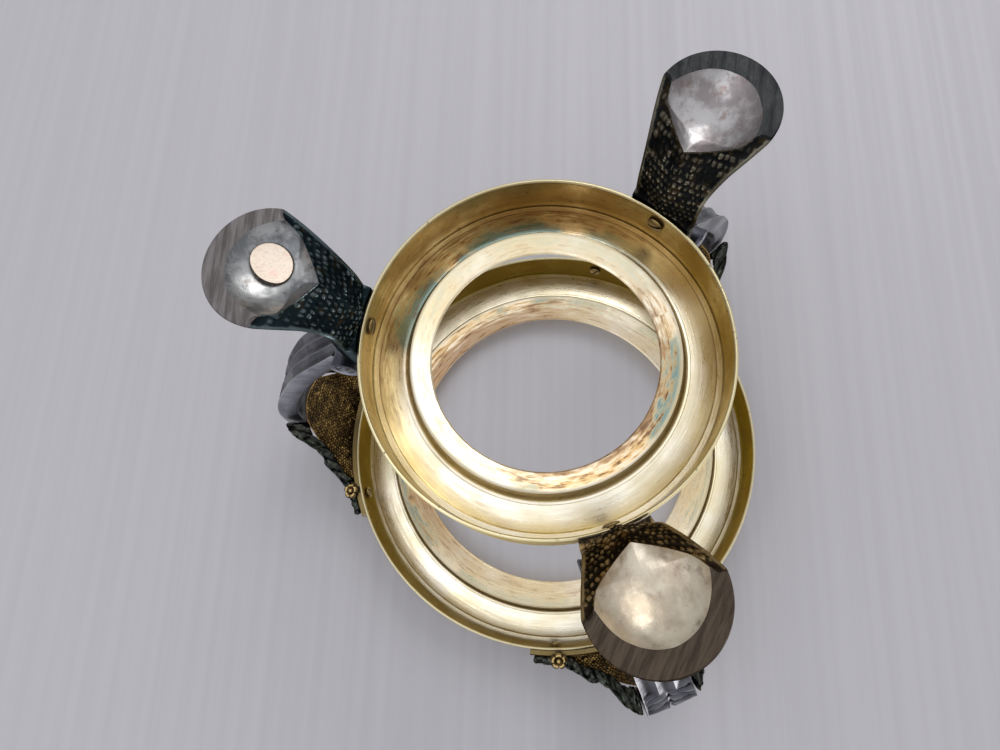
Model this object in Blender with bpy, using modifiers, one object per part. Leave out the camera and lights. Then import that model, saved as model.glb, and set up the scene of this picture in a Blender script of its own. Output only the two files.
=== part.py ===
"""Two-ring tripod stand: two gilt stepped rings, one above the other, held by three cast plated legs.

The stand is modelled as it is used, on its three soles, with +Z up. Everything is in metres. The rings'
common axis stands at (AXIS_X, AXIS_Y), so that the middle of the whole stand's footprint is the origin.
A leg is drawn in its own frame, whose X runs outward from the rings' axis, Y sideways and Z up, and an
empty turns that frame to the leg's azimuth.
"""

import math

import bmesh
import bpy
from mathutils import Matrix, Vector

# Driving dimensions -------------------------------------------------------------------------------
GAP = 0.0003  # left between pieces that touch
LEG_AZIMUTHS = {1: 30.0, 2: 150.0, 3: 270.0}
RING_STEPS = 64

LOWER_RIM_R = 0.0636  # outside of the lower ring's rim band
LOWER_LIP_Z = 0.0375
LOWER_SEAM_Z = 0.0547
UPPER_RIM_R = 0.1092  # widest point of the upper ring
UPPER_WALL_R = 0.1087  # outside of the upper rim band just above its lip
UPPER_WALL_TOP_R = 0.1076
UPPER_LIP_Z = 0.1975
UPPER_SEAM_Z = 0.2167
LOWER_STEP_R = 0.0495  # each plate steps up here to its recessed ledge
LOWER_HOLE_R = 0.0400
LOWER_LEDGE_RISE = 0.0018
UPPER_STEP_R = 0.0908
UPPER_HOLE_R = 0.0752
UPPER_LEDGE_RISE = 0.0026
KNEE_REACH = 0.1400  # furthest point of a leg from the rings' axis
AXIS_Y = (KNEE_REACH - UPPER_RIM_R) / 2
AXIS_X = -0.0028  # the consoles' turn puts more of the stand on one side of the rings' axis
BAND = 0.0012  # sheet thickness of the rim bands
PLATE = 0.0015  # sheet thickness of the stepped plates

SOLE_R = 0.0196
SOLE_CENTRE = 0.0842
ANKLE_TOP_Z = 0.0564
LEDGE_Z = 0.0370  # the lower ring's lip stands on the leg here
ROLL_R = 0.0060
ROLL_HALF = 0.0140
ROLL_AT = (0.0735, 0.0603)  # centre of the roll at the scroll's lower end
KNEE_ROLL_R = 0.0054
KNEE_ROLL_AT = (0.1338, 0.1820)
STRAP_HALF_WIDTH = 0.0105
STRAP_FLARE = 0.0018  # how much wider to each side the strap is at the knee
STRAP_FLARE_START = 0.60  # share of the strap's length at which the flare begins
STRAP_DEPTH = 0.0095

CONSOLE_SPREAD = 29.0  # degrees to each side of the leg's middle plane
CONSOLE_TIP_R = 0.1288
CONSOLE_TIP_Z = 0.1770
CONSOLE_TURN = -3.0  # degrees by which the consoles stand off the feet, all the same way
CONSOLE_RIM_R = 0.1103
CONSOLE_RIM_Z = 0.2025
CONSOLE_REACH = 22.0  # degrees at which the free edge has come back to the rim
TONGUE_SPREAD = 9.0  # degrees to each side over which a console runs on down the strap's back
TONGUE_DROP = 0.0120
TONGUE_OUT = -0.0006

SCREW_HEAD_R = 0.0031
SCREW_SHANK_R = 0.0016
SCREW_LENGTH = 0.0060
LOWER_SCREW_Z = 0.0438
UPPER_SCREW_Z = 0.2068
UPPER_SCREW_ANGLE = 22.5
ROSETTE_ANGLE = 21.5
ROSETTE_R = 0.0045
ROSETTE_AT = (0.1136, 0.1990)  # distance out and height of the middle of a rosette's back
ROSETTE_TILT = 72.0  # degrees below level that a rosette faces
LABEL_R = 0.0063
LABEL_AT = (0.0850, 0.0034)  # distance out and to the side
LABEL_REST = 0.0019  # how far the flat label's middle stands off the hollow


# Scene, materials and small helpers ---------------------------------------------------------------
def clear_scene():
    for item in list(bpy.data.objects):
        bpy.data.objects.remove(item, do_unlink=True)


def make_collection(name):
    collection = bpy.data.collections.new(name)
    bpy.context.scene.collection.children.link(collection)
    return collection


def make_material(name, colour, roughness, metallic):
    material = bpy.data.materials.new(name)
    material.use_nodes = True
    shader = material.node_tree.nodes["Principled BSDF"]
    shader.inputs["Base Color"].default_value = (*colour, 1.0)
    shader.inputs["Roughness"].default_value = roughness
    shader.inputs["Metallic"].default_value = metallic
    material.diffuse_color = (*colour, 1.0)
    return material


def add_object(name, mesh, material, parent, smooth_angle=35.0):
    """Put a mesh in the stand's collection under an empty."""
    item = bpy.data.objects.new(name, mesh)
    if material and not mesh.materials:
        mesh.materials.append(material)
    mesh.shade_smooth()
    mesh.set_sharp_from_angle(angle=math.radians(smooth_angle))
    PARTS.objects.link(item)
    item.parent = parent
    return item


def add_empty(name, parent=None, location=(0, 0, 0), turn=0.0):
    item = bpy.data.objects.new(name, None)
    item.empty_display_size = 0.01
    item.location = location
    item.rotation_euler = (0, 0, math.radians(turn))
    item.parent = parent
    PARTS.objects.link(item)
    return item


def cut(item, cutter, name):
    """Cut one object out of another, and keep the cutter as a wire guide."""
    modifier = item.modifiers.new(name, "BOOLEAN")
    modifier.operation = "DIFFERENCE"
    modifier.solver = "EXACT"
    modifier.object = cutter


def add_cutter(name, mesh, parent):
    item = bpy.data.objects.new(name, mesh)
    item.hide_render = True
    item.display_type = "WIRE"
    item.parent = parent
    CUTTERS.objects.link(item)
    return item


def mesh_from(bm, name):
    bmesh.ops.recalc_face_normals(bm, faces=bm.faces)
    mesh = bpy.data.meshes.new(name)
    bm.to_mesh(mesh)
    bm.free()
    return mesh


def loft(name, loops):
    """Join closed loops of equally many points into one capped body."""
    bm = bmesh.new()
    rows = [[bm.verts.new(point) for point in loop] for loop in loops]
    count = len(rows[0])
    for low, high in zip(rows, rows[1:]):
        for i in range(count):
            j = (i + 1) % count
            bm.faces.new((low[i], low[j], high[j], high[i]))
    bm.faces.new(rows[0])
    bm.faces.new(rows[-1])
    return mesh_from(bm, name)


def mix(a, b, t):
    return a + (b - a) * t


def along(keys, at):
    """Read a list of (position, value, value, ...) rows at a position, on a smooth curve through them."""
    if at <= keys[0][0]:
        return keys[0][1:]
    for i in range(len(keys) - 1):
        a, b = keys[i], keys[i + 1]
        if at <= b[0]:
            before = keys[max(i - 1, 0)]
            after = keys[min(i + 2, len(keys) - 1)]
            span = b[0] - a[0]
            t = (at - a[0]) / span
            values = []
            for k in range(1, len(a)):
                slope_a = (b[k] - before[k]) / (b[0] - before[0]) * span
                slope_b = (after[k] - a[k]) / (after[0] - a[0]) * span
                h00 = (1 + 2 * t) * (1 - t) ** 2
                h01 = t * t * (3 - 2 * t)
                bend = t * (1 - t) ** 2 * slope_a + t * t * (t - 1) * slope_b
                values.append(h00 * a[k] + h01 * b[k] + bend)
            return tuple(values)
    return keys[-1][1:]


def radial(r, degrees, z):
    angle = math.radians(degrees)
    return Vector((r * math.cos(angle), r * math.sin(angle), z))


# Rings --------------------------------------------------------------------------------------------
def turned(name, profile, material):
    """A closed profile of (radius, height) points turned round the rings' axis."""
    mesh = bpy.data.meshes.new(name)
    count = len(profile)
    points = [(r, 0.0, z) for r, z in profile]
    mesh.from_pydata(points, [(i, (i + 1) % count) for i in range(count)], [])
    item = add_object(name, mesh, material, STAND)
    screw = item.modifiers.new("turn", "SCREW")
    screw.angle = math.tau
    screw.axis = "Z"
    screw.steps = RING_STEPS
    screw.render_steps = RING_STEPS
    screw.use_merge_vertices = True
    screw.merge_threshold = 0.00001
    screw.use_smooth_shade = True
    return item


def rim_band(name, foot_r, top_r, lip_z, seam_z, material):
    """A thin upright band, slightly rolled outward at its lip and at its top edge."""
    wall_top = seam_z + 0.0019
    outside = [
        (top_r + 0.0003, wall_top + 0.0023),
        (top_r, wall_top + 0.0012),
        (foot_r, lip_z + 0.0012),
        (foot_r + 0.0003, lip_z + 0.0005),
    ]
    inside = [
        (foot_r - BAND * 0.6, lip_z),
        (foot_r - BAND, lip_z + 0.0010),
        (top_r - BAND, wall_top + 0.0024),
        (top_r - BAND * 0.4, wall_top + 0.0030),
    ]
    return turned(name, outside + inside, material)


def stepped_plate(name, outer_r, seam_z, step_r, hole_r, ledge_rise, material):
    """An annulus that steps down to a recessed ledge, flat on top, round an open hole."""
    step_z = seam_z - 0.0022
    ledge_z = step_z - 0.0047
    hole_z = ledge_z + ledge_rise
    ledge_r = step_r - 0.0018
    under = [
        (outer_r, seam_z),
        (step_r, step_z),
        (step_r - 0.0012, step_z - 0.0016),
        (ledge_r, ledge_z),
        (hole_r + 0.0006, hole_z - 0.0002),
        (hole_r, hole_z + 0.0003),
    ]
    over = [
        (hole_r + 0.0003, hole_z + PLATE),
        (ledge_r - 0.0006, hole_z + PLATE),
        (step_r - 0.0012, step_z + PLATE - 0.0003),
        (outer_r, seam_z + PLATE),
    ]
    return turned(name, under + over, material)


# Legs ---------------------------------------------------------------------------------------------
# Height, and there the inner ridge's distance out, the side edge's distance out and half width, and the
# front's distance out.
FOOT_KEYS = (
    (0.0000, 0.0706, SOLE_CENTRE, SOLE_R - 0.0004, SOLE_CENTRE + SOLE_R - 0.0006),
    (0.0012, 0.0705, SOLE_CENTRE - 0.0008, SOLE_R, SOLE_CENTRE + SOLE_R),
    (0.0035, 0.0701, 0.0806, 0.0187, 0.1026),
    (0.0070, 0.0694, 0.0767, 0.0171, 0.0990),
    (0.0120, 0.0672, 0.0722, 0.0150, 0.0925),
    (0.0200, 0.0640, 0.0680, 0.0131, 0.0850),
    (0.0280, 0.0625, 0.0662, 0.0125, 0.0804),
    (LEDGE_Z - 0.0002, 0.0626, 0.0660, 0.0125, 0.0783),
)
ANKLE_KEYS = (
    (LEDGE_Z, 0.0662, 0.0125, 0.0783),
    (0.0460, 0.0668, 0.0122, 0.0787),
    (ANKLE_TOP_Z, 0.0676, 0.0118, 0.0797),
)
FACET_POINTS = 4
FRONT_POINTS = 14


def front_arc(edge, half, front, z):
    """The rounded outer side of a leg, from one side edge to the other."""
    points = []
    for i in range(FRONT_POINTS + 1):
        angle = math.pi / 2 - math.pi * i / FRONT_POINTS
        points.append(Vector((edge + (front - edge) * math.cos(angle), half * math.sin(angle), z)))
    return points


def foot_loop(z):
    """Below the ledge the inner side is two flat facets that meet in a ridge."""
    ridge, edge, half, front = along(FOOT_KEYS, z)
    loop = front_arc(edge, half, front, z)
    for i in range(1, 2 * FACET_POINTS):
        side = -1 + i / FACET_POINTS
        loop.append(Vector((mix(ridge, edge, abs(side)), half * side, z)))
    return loop


def ankle_loop(z):
    """Beside the lower ring the inner side is hollowed to the ring's rim band."""
    edge, half, front = along(ANKLE_KEYS, z)
    seat = LOWER_RIM_R + 2 * GAP
    loop = front_arc(edge, half, front, z)
    for i in range(1, 2 * FACET_POINTS):
        side = -1 + i / FACET_POINTS
        y = half * side * 0.97
        loop.append(Vector((math.sqrt(seat**2 - y**2), y, z)))
    return loop


def make_foot(number, frame, material):
    heights = [0.0, 0.0012, 0.0028, 0.0048, 0.0070, 0.0095, 0.0120, 0.0160, 0.0200, 0.0240, 0.0280, 0.0325]
    loops = [foot_loop(z) for z in heights + [LEDGE_Z - 0.0002]]
    loops += [ankle_loop(z) for z in (LEDGE_Z, 0.0460, ANKLE_TOP_Z)]
    foot = add_object(f"leg_{number}_foot", loft("foot", loops), material, frame)
    cut(foot, make_dish_cutter(number, frame), "dish")
    cut(foot, make_roll_cutter(number, frame), "saddle")
    cut(foot, make_bore(f"leg_{number}_bore", frame, LOWER_RIM_R - 0.002, LOWER_SCREW_Z, 0.0), "bore")
    return foot


DISH_FRONT = Vector((SOLE_CENTRE + SOLE_R - 0.0076, 0, 0))
DISH_APEX = Vector((0.0693, 0, 0.0076))
DISH_DEPTH = 0.0045
DISH_WIDEN = 0.85  # the hollow's width as a share of its length
DISH_POINT = 1.0  # how far the hollow's rear half is drawn from a round to a point


def dish_ball():
    """Centre and radius, in the leg's middle plane, of the ball that hollows the sole."""
    chord = DISH_APEX - DISH_FRONT
    half = chord.length / 2
    radius = (half**2 + DISH_DEPTH**2) / (2 * DISH_DEPTH)
    down = Vector((-chord.z, 0, chord.x)).normalized()
    centre = (DISH_FRONT + DISH_APEX) / 2 + down * (radius - DISH_DEPTH)
    return centre, radius


def dish_taper(x, y):
    """How much nearer the middle the hollow's side stands, towards the ridge, than a ball's would."""
    if x >= 0:
        return 1.0
    return mix(1.0, math.hypot(x, y) / (abs(x) + abs(y)), DISH_POINT)


def make_dish_cutter(number, frame):
    centre, radius = dish_ball()
    bm = bmesh.new()
    bmesh.ops.create_uvsphere(bm, u_segments=36, v_segments=24, radius=radius)
    for vertex in bm.verts:
        taper = dish_taper(vertex.co.x, vertex.co.y)
        vertex.co = (vertex.co.x * taper, vertex.co.y * taper * DISH_WIDEN, vertex.co.z)
    bmesh.ops.translate(bm, vec=centre, verts=bm.verts)
    return add_cutter(f"dish_cutter_{number}", mesh_from(bm, "dish"), frame)


def make_roll_cutter(number, frame):
    bm = bmesh.new()
    radius = ROLL_R + GAP
    bmesh.ops.create_cone(bm, cap_ends=True, segments=32, radius1=radius, radius2=radius, depth=0.04)
    bmesh.ops.rotate(bm, matrix=Matrix.Rotation(math.pi / 2, 3, "X"), verts=bm.verts)
    bmesh.ops.translate(bm, vec=(ROLL_AT[0], 0, ROLL_AT[1]), verts=bm.verts)
    return add_cutter(f"roll_cutter_{number}", mesh_from(bm, "roll"), frame)


def make_bore(name, frame, start_r, z, degrees):
    """A clearance hole for one screw, running outward."""
    bm = bmesh.new()
    radius = SCREW_SHANK_R + GAP
    depth = SCREW_LENGTH + 0.004
    bmesh.ops.create_cone(bm, cap_ends=True, segments=16, radius1=radius, radius2=radius, depth=depth)
    bmesh.ops.rotate(bm, matrix=Matrix.Rotation(math.pi / 2, 3, "Y"), verts=bm.verts)
    bmesh.ops.translate(bm, vec=(start_r + depth / 2, 0, z), verts=bm.verts)
    bmesh.ops.rotate(bm, matrix=Matrix.Rotation(math.radians(degrees), 3, "Z"), verts=bm.verts)
    return add_cutter(name, mesh_from(bm, "bore"), frame)


# The strap's middle line in the leg's plane: share of its run, distance out, height.
STRAP_KEYS = (
    (0.00, 0.0775, 0.0640),
    (0.12, 0.0850, 0.0735),
    (0.28, 0.0960, 0.0870),
    (0.45, 0.1080, 0.1040),
    (0.62, 0.1200, 0.1255),
    (0.76, 0.1284, 0.1430),
    (0.88, 0.1340, 0.1600),
    (0.96, 0.1352, 0.1730),
    (1.00, 0.1346, 0.1800),
)
STRAP_ROWS = 16
FLUTES = 3
FLUTE_STEPS = 4
FLUTE_DEPTH = 0.0011


def strap_section(half, depth):
    """Outline across the strap: three hollow flutes outside, a plain inner face."""
    outline = []
    for i in range(FLUTES * FLUTE_STEPS + 1):
        t = i / (FLUTES * FLUTE_STEPS)
        hollow = abs(math.sin(math.pi * FLUTES * t)) * FLUTE_DEPTH
        outline.append((half * (1 - 2 * t), depth / 2 - hollow))
    outline += [(-half * 0.82, -depth / 2), (0.0, -depth / 2 - 0.0006), (half * 0.82, -depth / 2)]
    return outline


def make_scroll(number, frame, material):
    """A fluted strap that climbs outward from a roll at the ankle to the knee."""
    loops = []
    step = 0.004
    for i in range(STRAP_ROWS + 1):
        t = i / STRAP_ROWS
        x, z = along(STRAP_KEYS, t)
        back = Vector(along(STRAP_KEYS, max(t - step, 0.0)))
        ahead = Vector(along(STRAP_KEYS, min(t + step, 1.0)))
        tangent = (ahead - back).normalized()
        outward = Vector((tangent.y, -tangent.x))
        half = STRAP_HALF_WIDTH * mix(0.80, 1.0, min(t / 0.5, 1.0))
        half += STRAP_FLARE * max(t - STRAP_FLARE_START, 0.0) / (1 - STRAP_FLARE_START)
        depth = STRAP_DEPTH * mix(0.85, 1.0, min(t / 0.4, 1.0))
        turn = Matrix.Rotation(math.radians(CONSOLE_TURN) * t, 3, "Z")
        loop = []
        for side, out in strap_section(half, depth):
            loop.append(turn @ Vector((x + out * outward.x, side, z + out * outward.y)))
        loops.append(loop)
    strap = add_object(f"leg_{number}_scroll", loft("scroll", loops), material, frame)
    knee = roll_mesh(KNEE_ROLL_AT, KNEE_ROLL_R, STRAP_HALF_WIDTH + STRAP_FLARE + 0.0004, 20)
    knee.transform(Matrix.Rotation(math.radians(CONSOLE_TURN), 4, "Z"))
    join(strap, roll_mesh(ROLL_AT, ROLL_R, ROLL_HALF, 24), f"foot_roll_{number}", frame)
    join(strap, knee, f"knee_roll_{number}", frame)
    return strap


def roll_mesh(at, radius, half, segments):
    bm = bmesh.new()
    bmesh.ops.create_cone(
        bm, cap_ends=True, segments=segments, radius1=radius, radius2=radius, depth=2 * half
    )
    bmesh.ops.rotate(bm, matrix=Matrix.Rotation(math.pi / 2, 3, "X"), verts=bm.verts)
    bmesh.ops.translate(bm, vec=(at[0], 0, at[1]), verts=bm.verts)
    return mesh_from(bm, "roll")


def join(item, mesh, name, frame):
    """Unite an object with one more body."""
    other = add_cutter(name, mesh, frame)
    modifier = item.modifiers.new(name, "BOOLEAN")
    modifier.operation = "UNION"
    modifier.solver = "EXACT"
    modifier.object = other


# Consoles, their borders and rosettes -------------------------------------------------------------
CONSOLE_ROWS = 48
WEB = 0.0030  # thickness of the console at its free edge
FLANGE = 0.0024
FLANGE_FOOT_Z = 0.1996
FLANGE_TOP_Z = 0.2180


def console_contour(degrees):
    """Distance out and height of the line that a border follows, at an angle from the leg's middle plane."""
    share = max(1 - (degrees / CONSOLE_REACH) ** 2, 0.0) ** 1.5
    return mix(CONSOLE_RIM_R, CONSOLE_TIP_R, share), mix(CONSOLE_RIM_Z, CONSOLE_TIP_Z, share)


def console_edge(degrees):
    """The console's free edge: the contour, with a tongue that runs down the strap's back."""
    r, z = console_contour(degrees)
    tongue = min(max(1 - abs(degrees) / TONGUE_SPREAD, 0.0) * 2.5, 1.0)
    return r + TONGUE_OUT * tongue, z - TONGUE_DROP * tongue


def wall_r(z):
    """Outside of the upper ring's leaning rim band."""
    t = (z - UPPER_LIP_Z) / (UPPER_SEAM_Z - UPPER_LIP_Z)
    return mix(UPPER_WALL_R, UPPER_WALL_TOP_R, t)


def make_console(number, frame, material):
    loops = []
    for i in range(CONSOLE_ROWS + 1):
        degrees = mix(-CONSOLE_SPREAD, CONSOLE_SPREAD, i / CONSOLE_ROWS)
        edge_r, edge_z = console_edge(degrees)
        foot_r = wall_r(FLANGE_FOOT_Z) + 2 * GAP
        top_r = wall_r(FLANGE_TOP_Z) + 2 * GAP
        edge_r = max(edge_r, foot_r + FLANGE + 0.0006)
        section = [
            (foot_r, FLANGE_FOOT_Z),
            (foot_r + FLANGE, FLANGE_FOOT_Z),
            (foot_r + FLANGE, FLANGE_FOOT_Z + 0.0030),
            (mix(foot_r + FLANGE, edge_r, 0.5), mix(FLANGE_FOOT_Z + 0.0030, edge_z, 0.5) + 0.0012),
            (edge_r, edge_z),
            (edge_r, edge_z + WEB),
            (mix(top_r, edge_r, 0.55), mix(FLANGE_TOP_Z, edge_z + WEB, 0.55) + 0.0026),
            (mix(top_r, edge_r, 0.22), mix(FLANGE_TOP_Z, edge_z + WEB, 0.22) + 0.0018),
            (top_r, FLANGE_TOP_Z),
        ]
        loops.append([radial(r, degrees, z) for r, z in section])
    console = add_object(f"leg_{number}_console", loft("console", loops), material, frame)
    for side, sign in (("left", 1), ("right", -1)):
        angle = sign * UPPER_SCREW_ANGLE
        bore = make_bore(f"console_bore_{number}_{side}", frame, UPPER_WALL_R - 0.002, UPPER_SCREW_Z, angle)
        cut(console, bore, f"bore_{side}")
    return console


BORDER_START = 6.2
BORDER_END = 28.0
BORDER_ROWS = 24
BORDER_SIDES = 7
LOBES = 5


def border_middle(t):
    """Angle, middle line and thickness of the border, from the knob at the knee to the rim."""
    degrees = mix(BORDER_START, BORDER_END, t)
    knob = max(1 - ((t - 0.07) / 0.16) ** 2, 0.0)
    radius = mix(0.0034, 0.0021, t) * (0.82 + 0.18 * abs(math.cos(math.pi * LOBES * t))) + 0.0016 * knob
    edge_r, edge_z = console_contour(degrees)
    edge_r = max(edge_r, wall_r(FLANGE_FOOT_Z) + FLANGE + 0.0006)
    return degrees, edge_r + radius + 3 * GAP + 0.0032 * knob, edge_z + WEB / 2 - 0.0105 * knob, radius


def make_border(number, side, sign, frame, material):
    """A lobed leaf moulding that follows the console's free edge."""
    loops = []
    for i in range(BORDER_ROWS + 1):
        degrees, r, z, radius = border_middle((i / BORDER_ROWS) ** 1.3)
        if i in (0, BORDER_ROWS):
            radius *= 0.45
        loop = []
        for k in range(BORDER_SIDES):
            turn = math.tau * k / BORDER_SIDES
            at_r = r + radius * math.cos(turn)
            loop.append(radial(at_r, sign * degrees, z + 1.15 * radius * math.sin(turn)))
        loops.append(loop)
    return add_object(f"leg_{number}_border_{side}", loft("border", loops), material, frame)


def rosette_mesh():
    """A five-petalled disc with a domed middle, facing local +Z."""
    petals = 5
    points = 20
    loops = []
    profile = ((1.0, 0.0), (1.0, 0.0007), (0.80, 0.0016), (0.45, 0.0011), (0.26, 0.0021), (0.10, 0.0024))
    for share, z in profile:
        loop = []
        for i in range(points):
            turn = math.tau * i / points
            lobe = 1 - 0.16 * share * (1 - abs(math.cos(petals * turn / 2)))
            reach = ROSETTE_R * share * lobe
            loop.append(Vector((reach * math.cos(turn), reach * math.sin(turn), z)))
        loops.append(loop)
    return loft("rosette", loops)


def make_rosette(number, side, sign, frame, border, mesh, material):
    """A gilt rosette, seated on a flat that is cut in the border's underside."""
    item = add_object(f"leg_{number}_rosette_{side}", mesh, material, frame)
    item.location = radial(ROSETTE_AT[0], sign * ROSETTE_ANGLE, ROSETTE_AT[1])
    item.rotation_euler = (0, math.pi / 2 + math.radians(ROSETTE_TILT), math.radians(sign * ROSETTE_ANGLE))
    bm = bmesh.new()
    seat_r = ROSETTE_R + GAP
    bmesh.ops.create_cone(bm, cap_ends=True, segments=20, radius1=seat_r, radius2=seat_r, depth=0.008)
    bmesh.ops.translate(bm, vec=(0, 0, 0.004 - GAP), verts=bm.verts)
    seat = add_cutter(f"rosette_seat_{number}_{side}", mesh_from(bm, "seat"), frame)
    seat.location = item.location
    seat.rotation_euler = item.rotation_euler
    cut(border, seat, "rosette_seat")
    return item


# Screws and label ---------------------------------------------------------------------------------
def screw_mesh():
    """A slotted round-head screw whose shank runs along +X from the underside of its head."""
    head = 0.0012
    bm = bmesh.new()
    points = 14
    rows = []
    shape = (
        (-head, SCREW_HEAD_R * 0.6),
        (-head * 0.3, SCREW_HEAD_R),
        (0.0, SCREW_HEAD_R),
        (0.0, SCREW_SHANK_R),
        (SCREW_LENGTH, SCREW_SHANK_R),
    )
    for x, r in shape:
        row = []
        for i in range(points):
            turn = math.tau * i / points
            row.append(bm.verts.new((x, r * math.cos(turn), r * math.sin(turn))))
        rows.append(row)
    for low, high in zip(rows, rows[1:]):
        for i in range(points):
            j = (i + 1) % points
            bm.faces.new((low[i], low[j], high[j], high[i]))
    bm.faces.new(rows[0])
    bm.faces.new(rows[-1])
    return mesh_from(bm, "screw")


def make_slot(name, parent, location, degrees, twist):
    bm = bmesh.new()
    bmesh.ops.create_cube(bm, size=1.0)
    bmesh.ops.scale(bm, vec=(0.0014, 0.0008, 0.0080), verts=bm.verts)
    bmesh.ops.rotate(bm, matrix=Matrix.Rotation(math.radians(twist), 3, "X"), verts=bm.verts)
    bmesh.ops.translate(bm, vec=(-0.0012, 0, 0), verts=bm.verts)
    item = add_cutter(name, mesh_from(bm, "slot"), parent)
    item.location = location
    item.rotation_euler = (0, 0, math.radians(degrees))
    return item


def make_screw(name, frame, wall_inner_r, z, degrees, twist, material):
    """A screw whose head lies on the inside of a rim band."""
    item = add_object(name, screw_mesh(), material, frame)
    item.location = radial(wall_inner_r - 2 * GAP, degrees, z)
    item.rotation_euler = (0, 0, math.radians(degrees))
    cut(item, make_slot(f"slot_of_{name}", frame, item.location, degrees, twist), "slot")
    return item


def make_label(frame, material):
    """A round paper label that lies in the first leg's dish."""
    centre, radius = dish_ball()
    bm = bmesh.new()
    bmesh.ops.create_cone(bm, cap_ends=True, segments=32, radius1=LABEL_R, radius2=LABEL_R, depth=0.0003)
    item = add_object("lot_label", mesh_from(bm, "label"), material, frame)
    side = LABEL_AT[1]
    out = LABEL_AT[0] - centre.x
    height = math.sqrt(radius**2 - out**2 - (side / DISH_WIDEN) ** 2)
    normal = Vector((out, side / DISH_WIDEN**2, height)).normalized()
    item.location = Vector((LABEL_AT[0], side, centre.z + height)) - normal * LABEL_REST
    item.rotation_mode = "QUATERNION"
    item.rotation_quaternion = Vector((0, 0, 1)).rotation_difference(normal)
    return item


# Build --------------------------------------------------------------------------------------------
clear_scene()
PARTS = make_collection("two_ring_tripod_stand")
CUTTERS = make_collection("cutters")
STAND = add_empty("stand_axis", location=(AXIS_X, AXIS_Y, 0))

GILT = make_material("gilt", (0.79, 0.66, 0.40), 0.32, 1.0)
DARK_SILVER = make_material("dark_silver", (0.20, 0.20, 0.20), 0.38, 1.0)
GREY_SILVER = make_material("grey_silver", (0.42, 0.42, 0.46), 0.30, 1.0)
BROWN_GILT = make_material("brown_gilt", (0.33, 0.24, 0.12), 0.45, 1.0)
OLD_BRASS = make_material("old_brass", (0.45, 0.34, 0.16), 0.42, 1.0)
PAPER = make_material("paper", (0.80, 0.72, 0.62), 0.85, 0.0)

lower_rim = rim_band("lower_ring_rim", LOWER_RIM_R, LOWER_RIM_R, LOWER_LIP_Z, LOWER_SEAM_Z, GILT)
upper_rim = rim_band("upper_ring_rim", UPPER_WALL_R, UPPER_WALL_TOP_R, UPPER_LIP_Z, UPPER_SEAM_Z, GILT)
lower_plate = (LOWER_RIM_R - BAND - GAP, LOWER_SEAM_Z, LOWER_STEP_R, LOWER_HOLE_R, LOWER_LEDGE_RISE)
upper_plate = (UPPER_WALL_TOP_R - BAND - 2 * GAP, UPPER_SEAM_Z, UPPER_STEP_R, UPPER_HOLE_R, UPPER_LEDGE_RISE)
stepped_plate("lower_ring_plate", *lower_plate, GILT)
stepped_plate("upper_ring_plate", *upper_plate, GILT)

rosette = rosette_mesh()
for leg_number, azimuth in LEG_AZIMUTHS.items():
    leg = add_empty(f"leg_{leg_number}_frame", STAND, turn=azimuth)
    make_foot(leg_number, leg, DARK_SILVER)
    make_scroll(leg_number, leg, GREY_SILVER)
    knee_frame = add_empty(f"leg_{leg_number}_knee_frame", leg, turn=CONSOLE_TURN)
    make_console(leg_number, knee_frame, BROWN_GILT)
    make_screw(f"leg_{leg_number}_ankle_screw", leg, LOWER_RIM_R - BAND, LOWER_SCREW_Z, 0.0, 25.0, OLD_BRASS)
    rim_bore = make_bore(f"rim_bore_{leg_number}", leg, LOWER_RIM_R - 0.004, LOWER_SCREW_Z, 0.0)
    cut(lower_rim, rim_bore, f"bore_{leg_number}")
    for leg_side, leg_sign in (("left", 1), ("right", -1)):
        border = make_border(leg_number, leg_side, leg_sign, knee_frame, DARK_SILVER)
        make_rosette(leg_number, leg_side, leg_sign, knee_frame, border, rosette, OLD_BRASS)
        angle = leg_sign * UPPER_SCREW_ANGLE
        screw_name = f"leg_{leg_number}_rim_screw_{leg_side}"
        inner_r = wall_r(UPPER_SCREW_Z) - BAND
        make_screw(screw_name, knee_frame, inner_r, UPPER_SCREW_Z, angle, 60.0, OLD_BRASS)
        hole_name = f"upper_{screw_name}_bore"
        rim_hole = make_bore(hole_name, knee_frame, UPPER_WALL_R - 0.004, UPPER_SCREW_Z, angle)
        cut(upper_rim, rim_hole, f"bore_{leg_number}_{leg_side}")
    if leg_number == 1:
        make_label(leg, PAPER)
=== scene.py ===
import math

import bmesh
import bpy
from mathutils import Matrix, Vector, noise


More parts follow.
